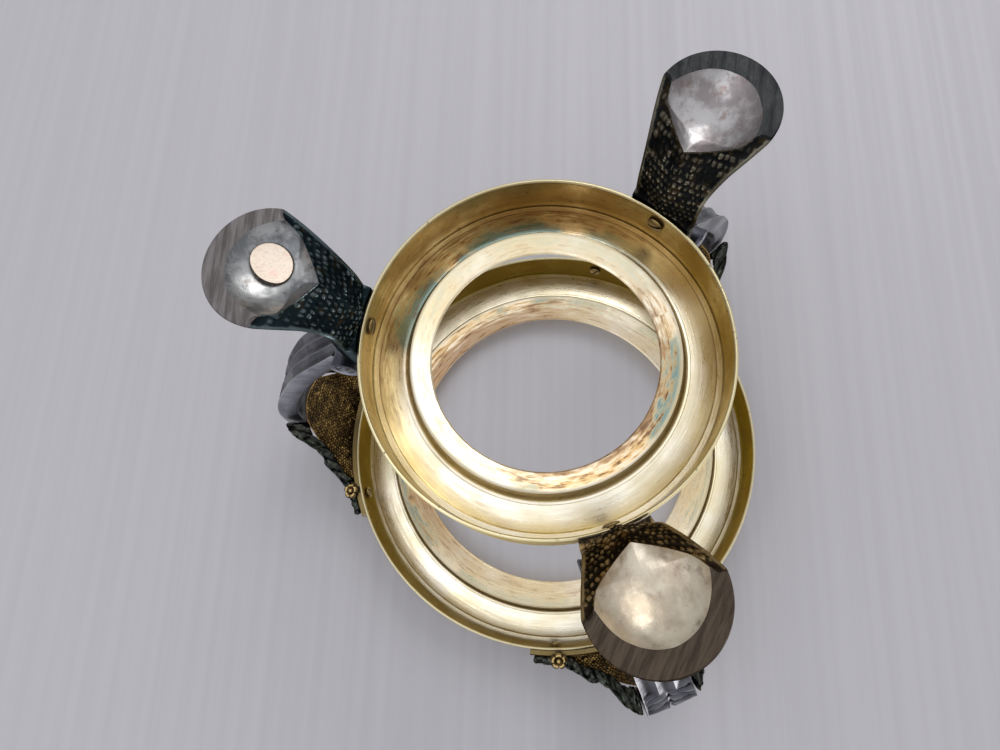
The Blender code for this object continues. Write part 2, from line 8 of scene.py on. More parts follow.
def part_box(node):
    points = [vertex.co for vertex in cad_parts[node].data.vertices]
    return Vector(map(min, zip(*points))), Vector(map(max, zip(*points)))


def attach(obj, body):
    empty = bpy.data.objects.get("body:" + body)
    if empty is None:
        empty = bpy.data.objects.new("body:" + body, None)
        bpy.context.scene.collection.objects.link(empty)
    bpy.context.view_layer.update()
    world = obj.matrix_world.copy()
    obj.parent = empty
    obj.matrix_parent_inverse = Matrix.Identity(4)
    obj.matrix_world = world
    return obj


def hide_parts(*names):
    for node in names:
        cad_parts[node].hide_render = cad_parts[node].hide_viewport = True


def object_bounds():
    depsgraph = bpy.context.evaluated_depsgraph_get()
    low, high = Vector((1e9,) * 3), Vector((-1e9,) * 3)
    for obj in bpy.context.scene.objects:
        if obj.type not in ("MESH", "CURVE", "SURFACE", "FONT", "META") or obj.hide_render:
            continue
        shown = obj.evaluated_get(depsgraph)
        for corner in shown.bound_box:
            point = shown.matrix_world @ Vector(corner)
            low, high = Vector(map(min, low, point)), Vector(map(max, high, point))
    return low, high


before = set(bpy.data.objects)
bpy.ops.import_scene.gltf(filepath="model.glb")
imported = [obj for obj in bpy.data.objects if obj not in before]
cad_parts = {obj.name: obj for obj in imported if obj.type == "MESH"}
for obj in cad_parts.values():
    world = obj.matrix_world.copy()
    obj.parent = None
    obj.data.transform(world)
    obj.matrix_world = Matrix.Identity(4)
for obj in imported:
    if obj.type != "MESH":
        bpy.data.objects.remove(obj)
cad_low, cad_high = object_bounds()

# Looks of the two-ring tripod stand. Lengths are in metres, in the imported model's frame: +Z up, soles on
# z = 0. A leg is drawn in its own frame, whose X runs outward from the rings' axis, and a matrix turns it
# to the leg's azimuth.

# Driving dimensions, as in the part, except where a comment says otherwise.
GAP = 0.0003
LEG_AZIMUTHS = {1: 30.0, 2: 150.0, 3: 270.0}
LOWER_RIM_R = 0.0636
LOWER_LIP_Z = 0.0375
LOWER_SEAM_Z = 0.0547
UPPER_WALL_R = 0.1087
UPPER_WALL_TOP_R = 0.1076
UPPER_LIP_Z = 0.1975
UPPER_SEAM_Z = 0.2167
LOWER_STEP_R = 0.0495
LOWER_HOLE_R = 0.0400
LOWER_LEDGE_RISE = 0.0018
UPPER_STEP_R = 0.0908
UPPER_HOLE_R = 0.0752
UPPER_LEDGE_RISE = 0.0026
BAND = 0.0012
PLATE = 0.0015
SOLE_R = 0.0196
SOLE_CENTRE = 0.0842
ANKLE_TOP_Z = 0.0564
LEDGE_Z = 0.0370
ROLL_R = 0.0060
ROLL_HALF = 0.0140
ROLL_AT = (0.0735, 0.0603)
KNEE_ROLL_R = 0.0054
KNEE_ROLL_AT = (0.1338, 0.1820)
STRAP_HALF_WIDTH = 0.0105
STRAP_FLARE = 0.0018
STRAP_FLARE_START = 0.60
STRAP_DEPTH = 0.0092  # 0.3 mm less than in the part
CONSOLE_SPREAD = 29.0
CONSOLE_TIP_R = 0.1288
CONSOLE_TIP_Z = 0.1770
CONSOLE_TURN = -3.0
CONSOLE_RIM_R = 0.1103
CONSOLE_RIM_Z = 0.2025
CONSOLE_REACH = 22.0
TONGUE_SPREAD = 9.0
TONGUE_DROP = 0.0120
TONGUE_OUT = -0.0006
WEB = 0.0030
FLANGE = 0.0024
FLANGE_FOOT_Z = 0.1996
FLANGE_TOP_Z = 0.2180
BORDER_START = 5.5  # 0.7 degrees nearer the leg's middle than in the part
BORDER_END = 28.0
SCREW_HEAD_R = 0.0031
SCREW_SHANK_R = 0.0016
SCREW_LENGTH = 0.0060
LOWER_SCREW_Z = 0.0438
UPPER_SCREW_Z = 0.2068
UPPER_SCREW_ANGLE = 22.5
ROSETTE_ANGLE = 21.5
ROSETTE_R = 0.0045
ROSETTE_AT = (0.1136, 0.1990)
ROSETTE_TILT = 72.0
LABEL_R = 0.0063
LABEL_AT = (0.0850, 0.0034)
DISH_FRONT = Vector((SOLE_CENTRE + SOLE_R - 0.0076, 0, 0))
DISH_APEX = Vector((0.0693, 0, 0.0076))
DISH_DEPTH = 0.0045
DISH_WIDEN = 0.85
DISH_POINT = 1.0

rim_low, rim_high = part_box("upper_ring_rim")
AXIS_X = (rim_low.x + rim_high.x) / 2
AXIS_Y = (rim_low.y + rim_high.y) / 2
STAND = Matrix.Translation((AXIS_X, AXIS_Y, 0))


def leg_frame(number):
    return STAND @ Matrix.Rotation(math.radians(LEG_AZIMUTHS[number]), 4, "Z")


def knee_frame(number):
    return leg_frame(number) @ Matrix.Rotation(math.radians(CONSOLE_TURN), 4, "Z")


# Small helpers --------------------------------------------
def mix(a, b, t):
    return a + (b - a) * t


def smooth(t):
    t = min(max(t, 0.0), 1.0)
    return t * t * (3 - 2 * t)


def radial(r, degrees, z):
    angle = math.radians(degrees)
    return Vector((r * math.cos(angle), r * math.sin(angle), z))


def along(keys, at):
    """Read a list of (position, value, value, ...) rows at a position, on a smooth curve through them."""
    if at <= keys[0][0]:
        return keys[0][1:]
    for i in range(len(keys) - 1):
        a, b = keys[i], keys[i + 1]
        if at <= b[0]:
            before = keys[max(i - 1, 0)]
            after = keys[min(i + 2, len(keys) - 1)]
            span = b[0] - a[0]
            t = (at - a[0]) / span
            values = []
            for k in range(1, len(a)):
                slope_a = (b[k] - before[k]) / (b[0] - before[0]) * span
                slope_b = (after[k] - a[k]) / (after[0] - a[0]) * span
                h00 = (1 + 2 * t) * (1 - t) ** 2
                h01 = t * t * (3 - 2 * t)
                bend = t * (1 - t) ** 2 * slope_a + t * t * (t - 1) * slope_b
                values.append(h00 * a[k] + h01 * b[k] + bend)
            return tuple(values)
    return keys[-1][1:]


def scales(u, v, width, length, seed=0.0):
    """Height of staggered hand-cut rows of raised scales, with u across the rows and v along them."""
    u += width * 0.38 * noise.noise(Vector((u / width * 0.6, v / length * 0.6, seed)))
    v += length * 0.34 * noise.noise(Vector((u / width * 0.6, v / length * 0.6, seed + 9.0)))
    row = math.floor(v / length)
    along_row = v / length - row
    across = u / width + 0.5 * (row % 2)
    across -= math.floor(across) + 0.5
    fall = abs(across) / 0.5
    crest = max(1 - fall**2.8, 0.0) * smooth(along_row / 0.24)
    crest *= 1 - smooth((along_row - 0.50) / 0.50) * 0.85
    return crest * (0.74 + 0.75 * noise.noise(Vector((row * 1.7, math.floor(u / width) * 2.3, seed + 4.0))))


def add_object(name, data):
    item = bpy.data.objects.new(name, data)
    bpy.context.scene.collection.objects.link(item)
    return item


class Shape:
    """Points with a relief value each, and faces with a material index each, gathered for one object."""

    def __init__(self):
        self.points = []
        self.relief = []
        self.faces = []
        self.paint = []

    def point(self, at, relief=0.5):
        self.points.append(Vector(at))
        self.relief.append(relief)
        return len(self.points) - 1

    def face(self, corners, paint=0):
        self.faces.append(tuple(corners))
        self.paint.append(paint)

    def loft(self, loops, relief=None, caps=True, paint=None, ring=False):
        """Join closed loops of equally many points; a ring joins the last loop to the first."""
        rows = []
        for k, loop in enumerate(loops):
            rows.append([self.point(p, relief[k][i] if relief else 0.5) for i, p in enumerate(loop)])
        count = len(rows[0])
        pairs = list(zip(rows, rows[1:]))
        if ring:
            pairs.append((rows[-1], rows[0]))
        for low, high in pairs:
            for i in range(count):
                j = (i + 1) % count
                self.face((low[i], low[j], high[j], high[i]), paint[i] if paint else 0)
        if caps and not ring:
            for row in (rows[0], rows[-1]):
                middle = sum((self.points[i] for i in row), Vector()) / count
                hub = self.point(middle)
                for i in range(count):
                    self.face((row[i], row[(i + 1) % count], hub))

    def turned(self, profile, steps, relief=0.5):
        """Turn an open (radius, height) profile round Z; radii of 0 at its ends close it."""
        rows = []
        for r, z in profile:
            if r < 1e-7:
                rows.append([self.point((0, 0, z), relief)] * steps)
            else:
                rows.append([self.point(radial(r, 360.0 * i / steps, z), relief) for i in range(steps)])
        for low, high in zip(rows, rows[1:]):
            for i in range(steps):
                j = (i + 1) % steps
                corners = list(dict.fromkeys((low[i], low[j], high[j], high[i])))
                if len(corners) > 2:
                    self.face(corners)

    def move(self, matrix, start=0):
        for i in range(start, len(self.points)):
            self.points[i] = matrix @ self.points[i]

    def build(self, name, materials, matrix=None, sharp=32.0):
        mesh = bpy.data.meshes.new(name)
        mesh.from_pydata(self.points, [], self.faces)
        mesh.polygons.foreach_set("material_index", self.paint)
        attribute = mesh.attributes.new("relief", "FLOAT", "POINT")
        attribute.data.foreach_set("value", self.relief)
        bm = bmesh.new()
        bm.from_mesh(mesh)
        bmesh.ops.remove_doubles(bm, verts=bm.verts, dist=1e-7)
        bmesh.ops.recalc_face_normals(bm, faces=bm.faces)
        bm.to_mesh(mesh)
        bm.free()
        for material in materials:
            mesh.materials.append(material)
        if matrix:
            mesh.transform(matrix)
        mesh.shade_smooth()
        mesh.set_sharp_from_angle(angle=math.radians(sharp))
        return add_object(name, mesh)


def apply_booleans(item, cutters, sharp=32.0):
    """Cut other objects out of one, keep the result as its mesh and drop the cutters."""
    for cutter in cutters:
        modifier = item.modifiers.new("cut", "BOOLEAN")
        modifier.operation = "DIFFERENCE"
        modifier.solver = "EXACT"
        modifier.material_mode = "TRANSFER"
        modifier.object = cutter
    bpy.context.view_layer.update()
    cut = bpy.data.meshes.new_from_object(item.evaluated_get(bpy.context.evaluated_depsgraph_get()))
    item.modifiers.clear()
    item.data = cut
    cut.shade_smooth()
    cut.set_sharp_from_angle(angle=math.radians(sharp))
    for cutter in cutters:
        bpy.data.objects.remove(cutter, do_unlink=True)


def finish_piece(item, node):
    """The detailed piece stands for its CAD node: it is named after it, hides it and rides on the stand's one
    body.
    """
    item.name = f"{node}_fine"
    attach(item, "root")
    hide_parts(node)
    return item


# Materials ------------------------------------------------
class Graph:
    """A short way to write one material's nodes."""

    def __init__(self, name):
        self.material = bpy.data.materials.new(name)
        self.material.use_nodes = True
        self.tree = self.material.node_tree
        self.shader = self.tree.nodes["Principled BSDF"]
        self.place = self.node("ShaderNodeTexCoord").outputs["Object"]

    def node(self, kind, **settings):
        node = self.tree.nodes.new(kind)
        for key, value in settings.items():
            setattr(node, key, value)
        return node

    def set(self, socket, value):
        if isinstance(value, bpy.types.NodeSocket):
            self.tree.links.new(value, socket)
        elif isinstance(value, tuple) and len(value) == 3 and socket.type == "RGBA":
            socket.default_value = (*value, 1.0)
        else:
            socket.default_value = value

    def math(self, operation, a, b=0.0, c=0.0, clamp=False):
        node = self.node("ShaderNodeMath", operation=operation, use_clamp=clamp)
        for socket, value in zip(node.inputs, (a, b, c)):
            self.set(socket, value)
        return node.outputs[0]

    def mapped(self, vector, scale):
        node = self.node("ShaderNodeVectorMath", operation="MULTIPLY")
        self.set(node.inputs[0], vector)
        self.set(node.inputs[1], scale)
        return node.outputs[0]

    def noise(self, vector, scale, detail=3.0, roughness=0.55):
        node = self.node("ShaderNodeTexNoise")
        self.set(node.inputs["Vector"], vector)
        self.set(node.inputs["Scale"], scale)
        self.set(node.inputs["Detail"], detail)
        self.set(node.inputs["Roughness"], roughness)
        return node.outputs["Fac"]

    def step(self, value, low, high, out_low=0.0, out_high=1.0):
        """A smooth ramp between two values."""
        node = self.node("ShaderNodeMapRange", interpolation_type="SMOOTHSTEP")
        keys = ("Value", "From Min", "From Max", "To Min", "To Max")
        for key, number in zip(keys, (value, low, high, out_low, out_high)):
            self.set(node.inputs[key], number)
        return node.outputs[0]

    def blend(self, factor, a, b, mode="MIX"):
        node = self.node("ShaderNodeMix", data_type="RGBA", blend_type=mode)
        self.set(node.inputs[0], factor)
        self.set(node.inputs[6], a)
        self.set(node.inputs[7], b)
        return node.outputs[2]

    def relief(self):
        return self.node("ShaderNodeAttribute", attribute_name="relief").outputs["Fac"]

    def weighted(self, a, weight_a, b, weight_b):
        """The sum of two values, each times its weight."""
        return self.math("ADD", self.math("MULTIPLY", a, weight_a), self.math("MULTIPLY", b, weight_b))

    def centred(self, value, factor):
        """How far a value stands above a half, times a factor."""
        return self.math("MULTIPLY", self.math("SUBTRACT", value, 0.5), factor)

    def from_axis(self):
        """Distance from the rings' axis, the two level offsets from it, and the height."""
        parts = self.node("ShaderNodeSeparateXYZ")
        self.set(parts.inputs[0], self.place)
        x = self.math("SUBTRACT", parts.outputs[0], AXIS_X)
        y = self.math("SUBTRACT", parts.outputs[1], AXIS_Y)
        return self.math("SQRT", self.weighted(x, x, y, y)), x, y, parts.outputs[2]

    def spun(self, place, scale):
        """A place given as (distance out, angle, height), each scaled, for noise drawn out round the axis."""
        node = self.node("ShaderNodeCombineXYZ")
        for socket, value, factor in zip(node.inputs, place, scale):
            self.set(socket, self.math("MULTIPLY", value, factor))
        return node.outputs[0]

    def rotated(self, degrees):
        """The place, rotated about the vertical."""
        node = self.node("ShaderNodeVectorRotate", rotation_type="Z_AXIS")
        self.set(node.inputs["Vector"], self.place)
        self.set(node.inputs["Angle"], math.radians(degrees))
        return node.outputs[0]

    def toned(self, toning, x, y, r, band):
        """Toning within a band: (amount all round, amount towards a direction, that direction)."""
        all_round, one_side, (toward_x, toward_y) = toning
        side = self.weighted(x, toward_x, y, toward_y)
        side = self.step(self.math("DIVIDE", side, r), -0.1, 0.95, all_round, one_side)
        return self.math("MULTIPLY", band, side)

    def bump(self, height, strength, distance):
        node = self.node("ShaderNodeBump")
        self.set(node.inputs["Strength"], strength)
        self.set(node.inputs["Distance"], distance)
        self.set(node.inputs["Height"], height)
        return node.outputs[0]

    def surface(self, colour, roughness, metallic=1.0, normal=None, edge=(1.0, 1.0, 1.0)):
        self.set(self.shader.inputs["Base Color"], colour)
        self.set(self.shader.inputs["Roughness"], roughness)
        self.set(self.shader.inputs["Metallic"], metallic)
        self.shader.inputs["Specular Tint"].default_value = (*edge, 1.0)
        if normal:
            self.set(self.shader.inputs["Normal"], normal)
        return self.material


# How much of what clean metal reflects at a grazing angle each worn finish does.
TARNISHED_EDGE = (0.35, 0.35, 0.35)
DULL_EDGE = (0.68, 0.68, 0.68)
GILT_EDGE = (0.95, 0.88, 0.70)
OLIVE_EDGE = (0.58, 0.48, 0.30)


def srgb(r, g, b):
    return tuple(((c / 255 + 0.055) / 1.055) ** 2.4 if c > 10 else c / 255 / 12.92 for c in (r, g, b))


def make_gilt(name, step_r, plate_toning, ledge_toning):
    """Spun gilding: fine turning lines round the axis, toning that gathers near the step and the hole, and a
    band of painted shade along the step.
    """
    g = Graph(name)
    r, x, y, z = g.from_axis()
    spun_at = (r, g.math("ARCTAN2", y, x), z)
    lines = g.noise(g.spun(spun_at, (2600.0, 1.4, 1800.0)), 1.0, 4.0, 0.6)
    streaks = g.noise(g.spun(spun_at, (760.0, 6.0, 420.0)), 1.0, 5.0, 0.65)
    clouds = g.noise(g.place, 26.0, 4.0, 0.6)
    fine = g.noise(g.place, 240.0, 4.0, 0.7)
    pale = srgb(250, 245, 230)
    warm = srgb(238, 226, 192)
    colour = g.blend(g.step(clouds, 0.35, 0.65), pale, warm)
    colour = g.blend(g.step(lines, 0.52, 0.72, 0.0, 0.25), colour, srgb(190, 168, 120))
    out = g.math("SUBTRACT", r, step_r)
    beyond_step = g.math("MULTIPLY", g.step(out, -0.0012, 0.0), g.step(out, 0.0080, 0.0150, 1.0, 0.15))
    on_ledge = g.step(out, -0.0040, -0.0015, 1.0, 0.0)
    on_plate = g.toned(plate_toning, x, y, r, beyond_step)
    amount = g.math("MAXIMUM", on_plate, g.toned(ledge_toning, x, y, r, on_ledge))
    phase = g.math("ADD", g.math("DIVIDE", g.math("ABSOLUTE", out), 0.011), g.centred(streaks, 2.2))
    ochre = g.math("MULTIPLY", amount, g.step(streaks, 0.36, 0.60, 0.35, 1.0))
    colour = g.blend(ochre, colour, srgb(212, 174, 112))
    plum = g.math("MULTIPLY", amount, g.step(phase, 0.45, 0.90, 0.0, 0.75))
    colour = g.blend(plum, colour, srgb(148, 120, 98))
    teal = g.math("MULTIPLY", amount, g.step(phase, 0.80, 0.30))
    teal = g.math("MULTIPLY", teal, g.step(clouds, 0.44, 0.54))
    colour = g.blend(teal, colour, srgb(122, 144, 138))
    flecks = g.math("MULTIPLY", amount, g.step(g.weighted(fine, 0.25, streaks, 0.75), 0.53, 0.64, 0.0, 0.8))
    colour = g.blend(flecks, colour, srgb(98, 70, 58))
    # Painted shade: a dark brown band along the step's wall and groove, where shade falls.
    step_shade = g.step(g.math("ABSOLUTE", g.math("SUBTRACT", r, step_r - 0.0012)), 0.0004, 0.0022, 0.75, 0.0)
    colour = g.blend(step_shade, colour, srgb(104, 84, 46))
    rough = g.step(streaks, 0.3, 0.7, 0.24, 0.42)
    height = g.weighted(lines, 0.7, fine, 0.3)
    material = g.surface(colour, rough, 1.0, g.bump(height, 0.35, 0.00012), GILT_EDGE)
    g.shader.inputs["Anisotropic"].default_value = 0.35
    tangent = g.node("ShaderNodeTangent", direction_type="RADIAL", axis="Z")
    g.set(g.shader.inputs["Tangent"], tangent.outputs[0])
    return material


def make_rim_gilt(name):
    """The rim bands' gilding: olive and dull on the walls, rubbed pale at the lip, and browned darker on one
    side by painted shade.
    """
    g = Graph(name)
    r, x, y, z = g.from_axis()
    spun_at = (r, g.math("ARCTAN2", y, x), z)
    lines = g.noise(g.spun(spun_at, (900.0, 2.0, 2200.0)), 1.0, 4.0, 0.6)
    clouds = g.noise(g.place, 45.0, 5.0, 0.6)
    fine = g.noise(g.place, 420.0, 3.0, 0.7)
    colour = g.blend(g.step(clouds, 0.36, 0.64), srgb(226, 212, 168), srgb(182, 164, 118))
    colour = g.blend(g.step(lines, 0.5, 0.7, 0.0, 0.5), colour, srgb(92, 76, 40))
    # Painted shade: one side of both bands is browned darker and stands for the darker surroundings the walls
    # reflect. Clouds break it up.
    shaded_side = g.step(g.math("DIVIDE", g.weighted(x, -0.85, y, 0.53), r), -0.15, 0.75)
    shaded_side = g.math("MULTIPLY", shaded_side, g.step(clouds, 0.25, 0.50, 0.55, 1.0))
    colour = g.blend(g.math("MULTIPLY", shaded_side, 0.75), colour, srgb(122, 92, 46))
    high = g.step(z, 0.5 * (LOWER_LIP_Z + UPPER_LIP_Z), UPPER_LIP_Z - 0.01, 0.0, 0.90)
    colour = g.blend(high, colour, srgb(104, 87, 50))
    lip = g.step(z, LOWER_LIP_Z + 0.0004, LOWER_LIP_Z + 0.0010, 1.0, 0.0)
    upper = g.step(g.math("ABSOLUTE", g.math("SUBTRACT", z, UPPER_LIP_Z + 0.0004)), 0.0, 0.0012, 1.0, 0.0)
    lip = g.math("MAXIMUM", lip, upper)
    colour = g.blend(g.math("MULTIPLY", lip, 0.8), colour, srgb(230, 218, 178))
    spots = g.math("MULTIPLY", g.step(fine, 0.62, 0.72), 0.7)
    colour = g.blend(spots, colour, srgb(64, 52, 34))
    rough = g.step(clouds, 0.3, 0.7, 0.26, 0.44)
    return g.surface(colour, rough, 1.0, g.bump(lines, 0.3, 0.00012), OLIVE_EDGE)


def make_dark_silver(name, ground, crest, glow):
    """Tarnished plate: dark in the hollows, with brown gilding, and rubbed bright on the crests."""
    g = Graph(name)
    relief = g.relief()
    clouds = g.noise(g.place, 60.0, 5.0, 0.6)
    fine = g.noise(g.place, 700.0, 4.0, 0.7)
    spots = g.noise(g.place, 230.0, 4.0, 0.7)
    base = g.blend(g.step(clouds, 0.38, 0.62), ground, tuple(c * 0.55 for c in ground))
    base = g.blend(g.step(spots, 0.50, 0.66, 0.0, 0.75), base, glow)
    worn = g.math("ADD", g.math("ADD", relief, g.centred(fine, 0.5)), g.centred(spots, 1.4))
    colour = g.blend(g.step(worn, 0.35, 1.00), base, crest)
    rough = g.step(worn, 0.3, 0.9, 0.50, 0.26)
    height = g.weighted(fine, 0.5, spots, 0.5)
    return g.surface(colour, rough, 1.0, g.bump(height, 0.35, 0.00025), TARNISHED_EDGE)


def make_dish(name, light, mid, dark):
    """Polished plate in a sole's hollow, cloudy and finely scratched."""
    g = Graph(name)
    clouds = g.noise(g.place, 95.0, 6.0, 0.62)
    blots = g.noise(g.place, 240.0, 5.0, 0.68)
    scratches = g.noise(g.mapped(g.place, (2400.0, 260.0, 260.0)), 1.0, 4.0, 0.6)
    colour = g.blend(g.step(clouds, 0.40, 0.60), light, mid)
    colour = g.blend(g.step(blots, 0.52, 0.70, 0.0, 0.6), colour, dark)
    scratched = tuple(min(1.0, c * 1.3) for c in light)
    colour = g.blend(g.step(scratches, 0.58, 0.75, 0.0, 0.35), colour, scratched)
    rough = g.step(clouds, 0.35, 0.65, 0.27, 0.42)
    height = g.weighted(clouds, 0.8, scratches, 0.2)
    return g.surface(colour, rough, 1.0, g.bump(height, 0.35, 0.0004))


def make_sole(name, angle, light, dark):
    """A sole band, worn flat and brushed one way."""
    g = Graph(name)
    brushed_at = g.rotated(angle)
    lines = g.noise(g.mapped(brushed_at, (190.0, 2300.0, 200.0)), 1.0, 5.0, 0.65)
    broad = g.noise(g.mapped(brushed_at, (60.0, 520.0, 60.0)), 1.0, 4.0, 0.6)
    clouds = g.noise(g.place, 120.0, 4.0, 0.6)
    colour = g.blend(g.step(broad, 0.36, 0.64), light, dark)
    colour = g.blend(g.step(lines, 0.50, 0.72, 0.0, 0.4), colour, tuple(c * 0.6 for c in dark))
    colour = g.blend(g.step(lines, 0.48, 0.30, 0.0, 0.25), colour, tuple(min(1.0, c * 1.3) for c in light))
    rough = g.step(clouds, 0.3, 0.7, 0.34, 0.52)
    return g.surface(colour, rough, 1.0, g.bump(lines, 0.55, 0.00025), TARNISHED_EDGE)


def make_grey_silver(name):
    """Dull polished plate of the fluted straps, with painted shade in the flutes and carved clefts, painted
    highlights along the flute crests, and browner near the knee.
    """
    g = Graph(name)
    relief = g.relief()
    clouds = g.noise(g.place, 70.0, 5.0, 0.6)
    fine = g.noise(g.place, 520.0, 4.0, 0.7)
    streaks = g.noise(g.mapped(g.place, (900.0, 900.0, 120.0)), 1.0, 4.0, 0.6)
    colour = g.blend(g.step(clouds, 0.36, 0.64), srgb(98, 98, 106), srgb(70, 70, 78))
    # Painted shade: the flute hollows and carved clefts, where the relief is low, are darkened almost to
    # black.
    colour = g.blend(g.step(relief, 0.50, 0.08), colour, srgb(24, 22, 23))
    # Painted highlight: the flute crests, where the relief is high, are lightened into bright edge lines.
    colour = g.blend(g.step(relief, 0.84, 1.0, 0.0, 0.6), colour, srgb(146, 144, 150))
    colour = g.blend(g.step(fine, 0.60, 0.74, 0.0, 0.5), colour, srgb(52, 48, 46))
    parts = g.node("ShaderNodeSeparateXYZ")
    g.set(parts.inputs[0], g.place)
    # Browner and darker towards the top of the strap, by the knee.
    browner_near_knee = g.math("MULTIPLY", g.step(parts.outputs[2], 0.160, 0.176), g.step(fine, 0.40, 0.62, 0.35, 0.85))
    colour = g.blend(browner_near_knee, colour, srgb(52, 43, 35))
    rough = g.step(clouds, 0.3, 0.7, 0.32, 0.50)
    height = g.weighted(fine, 0.4, streaks, 0.6)
    return g.surface(colour, rough, 1.0, g.bump(height, 0.4, 0.0002), DULL_EDGE)


def make_brown_gilt(name):
    """Dark toned gilding on the consoles' scaled ground, brassy on the crests."""
    g = Graph(name)
    relief = g.relief()
    clouds = g.noise(g.place, 75.0, 5.0, 0.62)
    fine = g.noise(g.place, 620.0, 4.0, 0.7)
    ground = g.blend(g.step(clouds, 0.36, 0.64), srgb(62, 46, 24), srgb(30, 26, 20))
    brass = g.blend(g.step(clouds, 0.40, 0.60), srgb(168, 140, 86), srgb(116, 90, 50))
    worn = g.math("ADD", relief, g.centred(fine, 0.6))
    colour = g.blend(g.step(worn, 0.20, 0.95), ground, brass)
    rough = g.step(fine, 0.3, 0.7, 0.34, 0.52)
    return g.surface(colour, rough, 1.0, g.bump(fine, 0.4, 0.0002))


def make_old_brass(name):
    """Dark old brass, rubbed on the high places."""
    g = Graph(name)
    relief = g.relief()
    clouds = g.noise(g.place, 260.0, 4.0, 0.6)
    fine = g.noise(g.place, 1100.0, 4.0, 0.7)
    colour = g.blend(g.step(clouds, 0.36, 0.64), srgb(120, 98, 62), srgb(66, 54, 38))
    colour = g.blend(g.step(relief, 0.6, 1.0), colour, srgb(190, 164, 110))
    colour = g.blend(g.step(relief, 0.4, 0.0), colour, srgb(26, 22, 16))
    rough = g.step(fine, 0.3, 0.7, 0.30, 0.50)
    return g.surface(colour, rough, 1.0, g.bump(fine, 0.35, 0.00012))


def make_paper(name):
    """Cream label paper with soft fibres, a faint pink smudge and a browned edge."""
    g = Graph(name)
    fibres = g.noise(g.mapped(g.place, (900.0, 2600.0, 900.0)), 1.0, 4.0, 0.7)
    clouds = g.noise(g.place, 300.0, 3.0, 0.5)
    colour = g.blend(g.step(fibres, 0.4, 0.7), srgb(232, 218, 202), srgb(214, 194, 176))
    colour = g.blend(g.step(clouds, 0.52, 0.68, 0.0, 0.35), colour, srgb(224, 170, 160))
    colour = g.blend(g.step(g.relief(), 0.6, 0.1, 0.0, 0.8), colour, srgb(150, 120, 96))
    return g.surface(colour, g.step(fibres, 0.3, 0.7, 0.78, 0.92), 0.0, g.bump(fibres, 0.3, 0.0001))


def make_one_sided(name, colour, grain_scale, turned_by):
    """A matt pale surface with a faint grain, seen from its front only."""
    g = Graph(name)
    grain = g.noise(g.mapped(g.rotated(turned_by), grain_scale), 1.0, 3.0, 0.6)
    tint = g.blend(g.step(grain, 0.30, 0.70), colour, tuple(c * 0.96 for c in colour))
    g.surface(tint, g.step(grain, 0.3, 0.7, 0.55, 0.7), 0.0, g.bump(grain, 0.15, 0.0008))
    output = g.tree.nodes["Material Output"]
    behind = g.node("ShaderNodeNewGeometry").outputs["Backfacing"]
    switch = g.node("ShaderNodeMixShader")
    g.set(switch.inputs[0], behind)
    g.tree.links.new(g.shader.outputs[0], switch.inputs[1])
    g.tree.links.new(g.node("ShaderNodeBsdfTransparent").outputs[0], switch.inputs[2])
    g.tree.links.new(switch.outputs[0], output.inputs["Surface"])
    return g.material


LOWER_GILT = make_gilt("lower gilt", LOWER_STEP_R, (0.10, 0.95, (0.20, 0.98)), (0.25, 1.0, (-0.54, -0.84)))
UPPER_GILT = make_gilt("upper gilt", UPPER_STEP_R, (0.05, 0.25, (0.70, 0.71)), (0.35, 1.0, (0.70, 0.71)))
RIM_GILT = make_rim_gilt("rim gilt")
GREY_SILVER = make_grey_silver("grey silver")
BROWN_GILT = make_brown_gilt("brown gilt")
OLD_BRASS = make_old_brass("old brass")
PAPER = make_paper("paper")
SCALED = {
    1: make_dark_silver("scaled silver 1", srgb(28, 38, 42), srgb(84, 96, 100), srgb(54, 44, 28)),
    2: make_dark_silver("scaled silver 2", srgb(26, 27, 28), srgb(92, 87, 76), srgb(52, 42, 26)),
    3: make_dark_silver("scaled silver 3", srgb(40, 33, 24), srgb(138, 116, 80), srgb(92, 66, 36)),
}
DISHES = {
    1: make_dish("dish 1", srgb(152, 153, 153), srgb(102, 104, 107), srgb(66, 54, 50)),
    2: make_dish("dish 2", srgb(164, 162, 163), srgb(126, 120, 121), srgb(118, 94, 86)),
    3: make_dish("dish 3", srgb(196, 186, 168), srgb(172, 160, 142), srgb(140, 122, 108)),
}
SOLES = {
    1: make_sole("sole 1", 69.0, srgb(118, 113, 113), srgb(88, 83, 82)),
    2: make_sole("sole 2", 59.0, srgb(46, 47, 48), srgb(33, 34, 35)),
    3: make_sole("sole 3", 44.0, srgb(80, 70, 60), srgb(58, 50, 43)),
}
LEAF = make_dark_silver("leaf silver", srgb(14, 17, 17), srgb(66, 68, 63), srgb(44, 34, 22))


# Rings ----------------------------------------------------
RING_STEPS = 288
HOLD = 0.00022  # how far in from each rounded corner a flat stretch is held flat


def rounded(outline, radius, arc_steps=5):
    """A closed outline with each corner rounded; a corner may carry its own radius as a third value."""
    points = []
    count = len(outline)
    for i in range(count):
        corner = Vector(outline[i][:2])
        size = outline[i][2] if len(outline[i]) > 2 else radius
        before = Vector(outline[i - 1][:2]) - corner
        after = Vector(outline[(i + 1) % count][:2]) - corner
        reach = min(size, before.length * 0.45, after.length * 0.45)
        start = corner + before.normalized() * reach
        end = corner + after.normalized() * reach
        for k in range(arc_steps + 1):
            t = k / arc_steps
            points.append((1 - t) ** 2 * start + 2 * t * (1 - t) * corner + t**2 * end)
    held = []
    for i, point in enumerate(points):
        held.append(point)
        onward = points[(i + 1) % len(points)] - point
        if onward.length > 4 * HOLD:
            held += [point + onward.normalized() * HOLD, point + onward - onward.normalized() * HOLD]
    return held


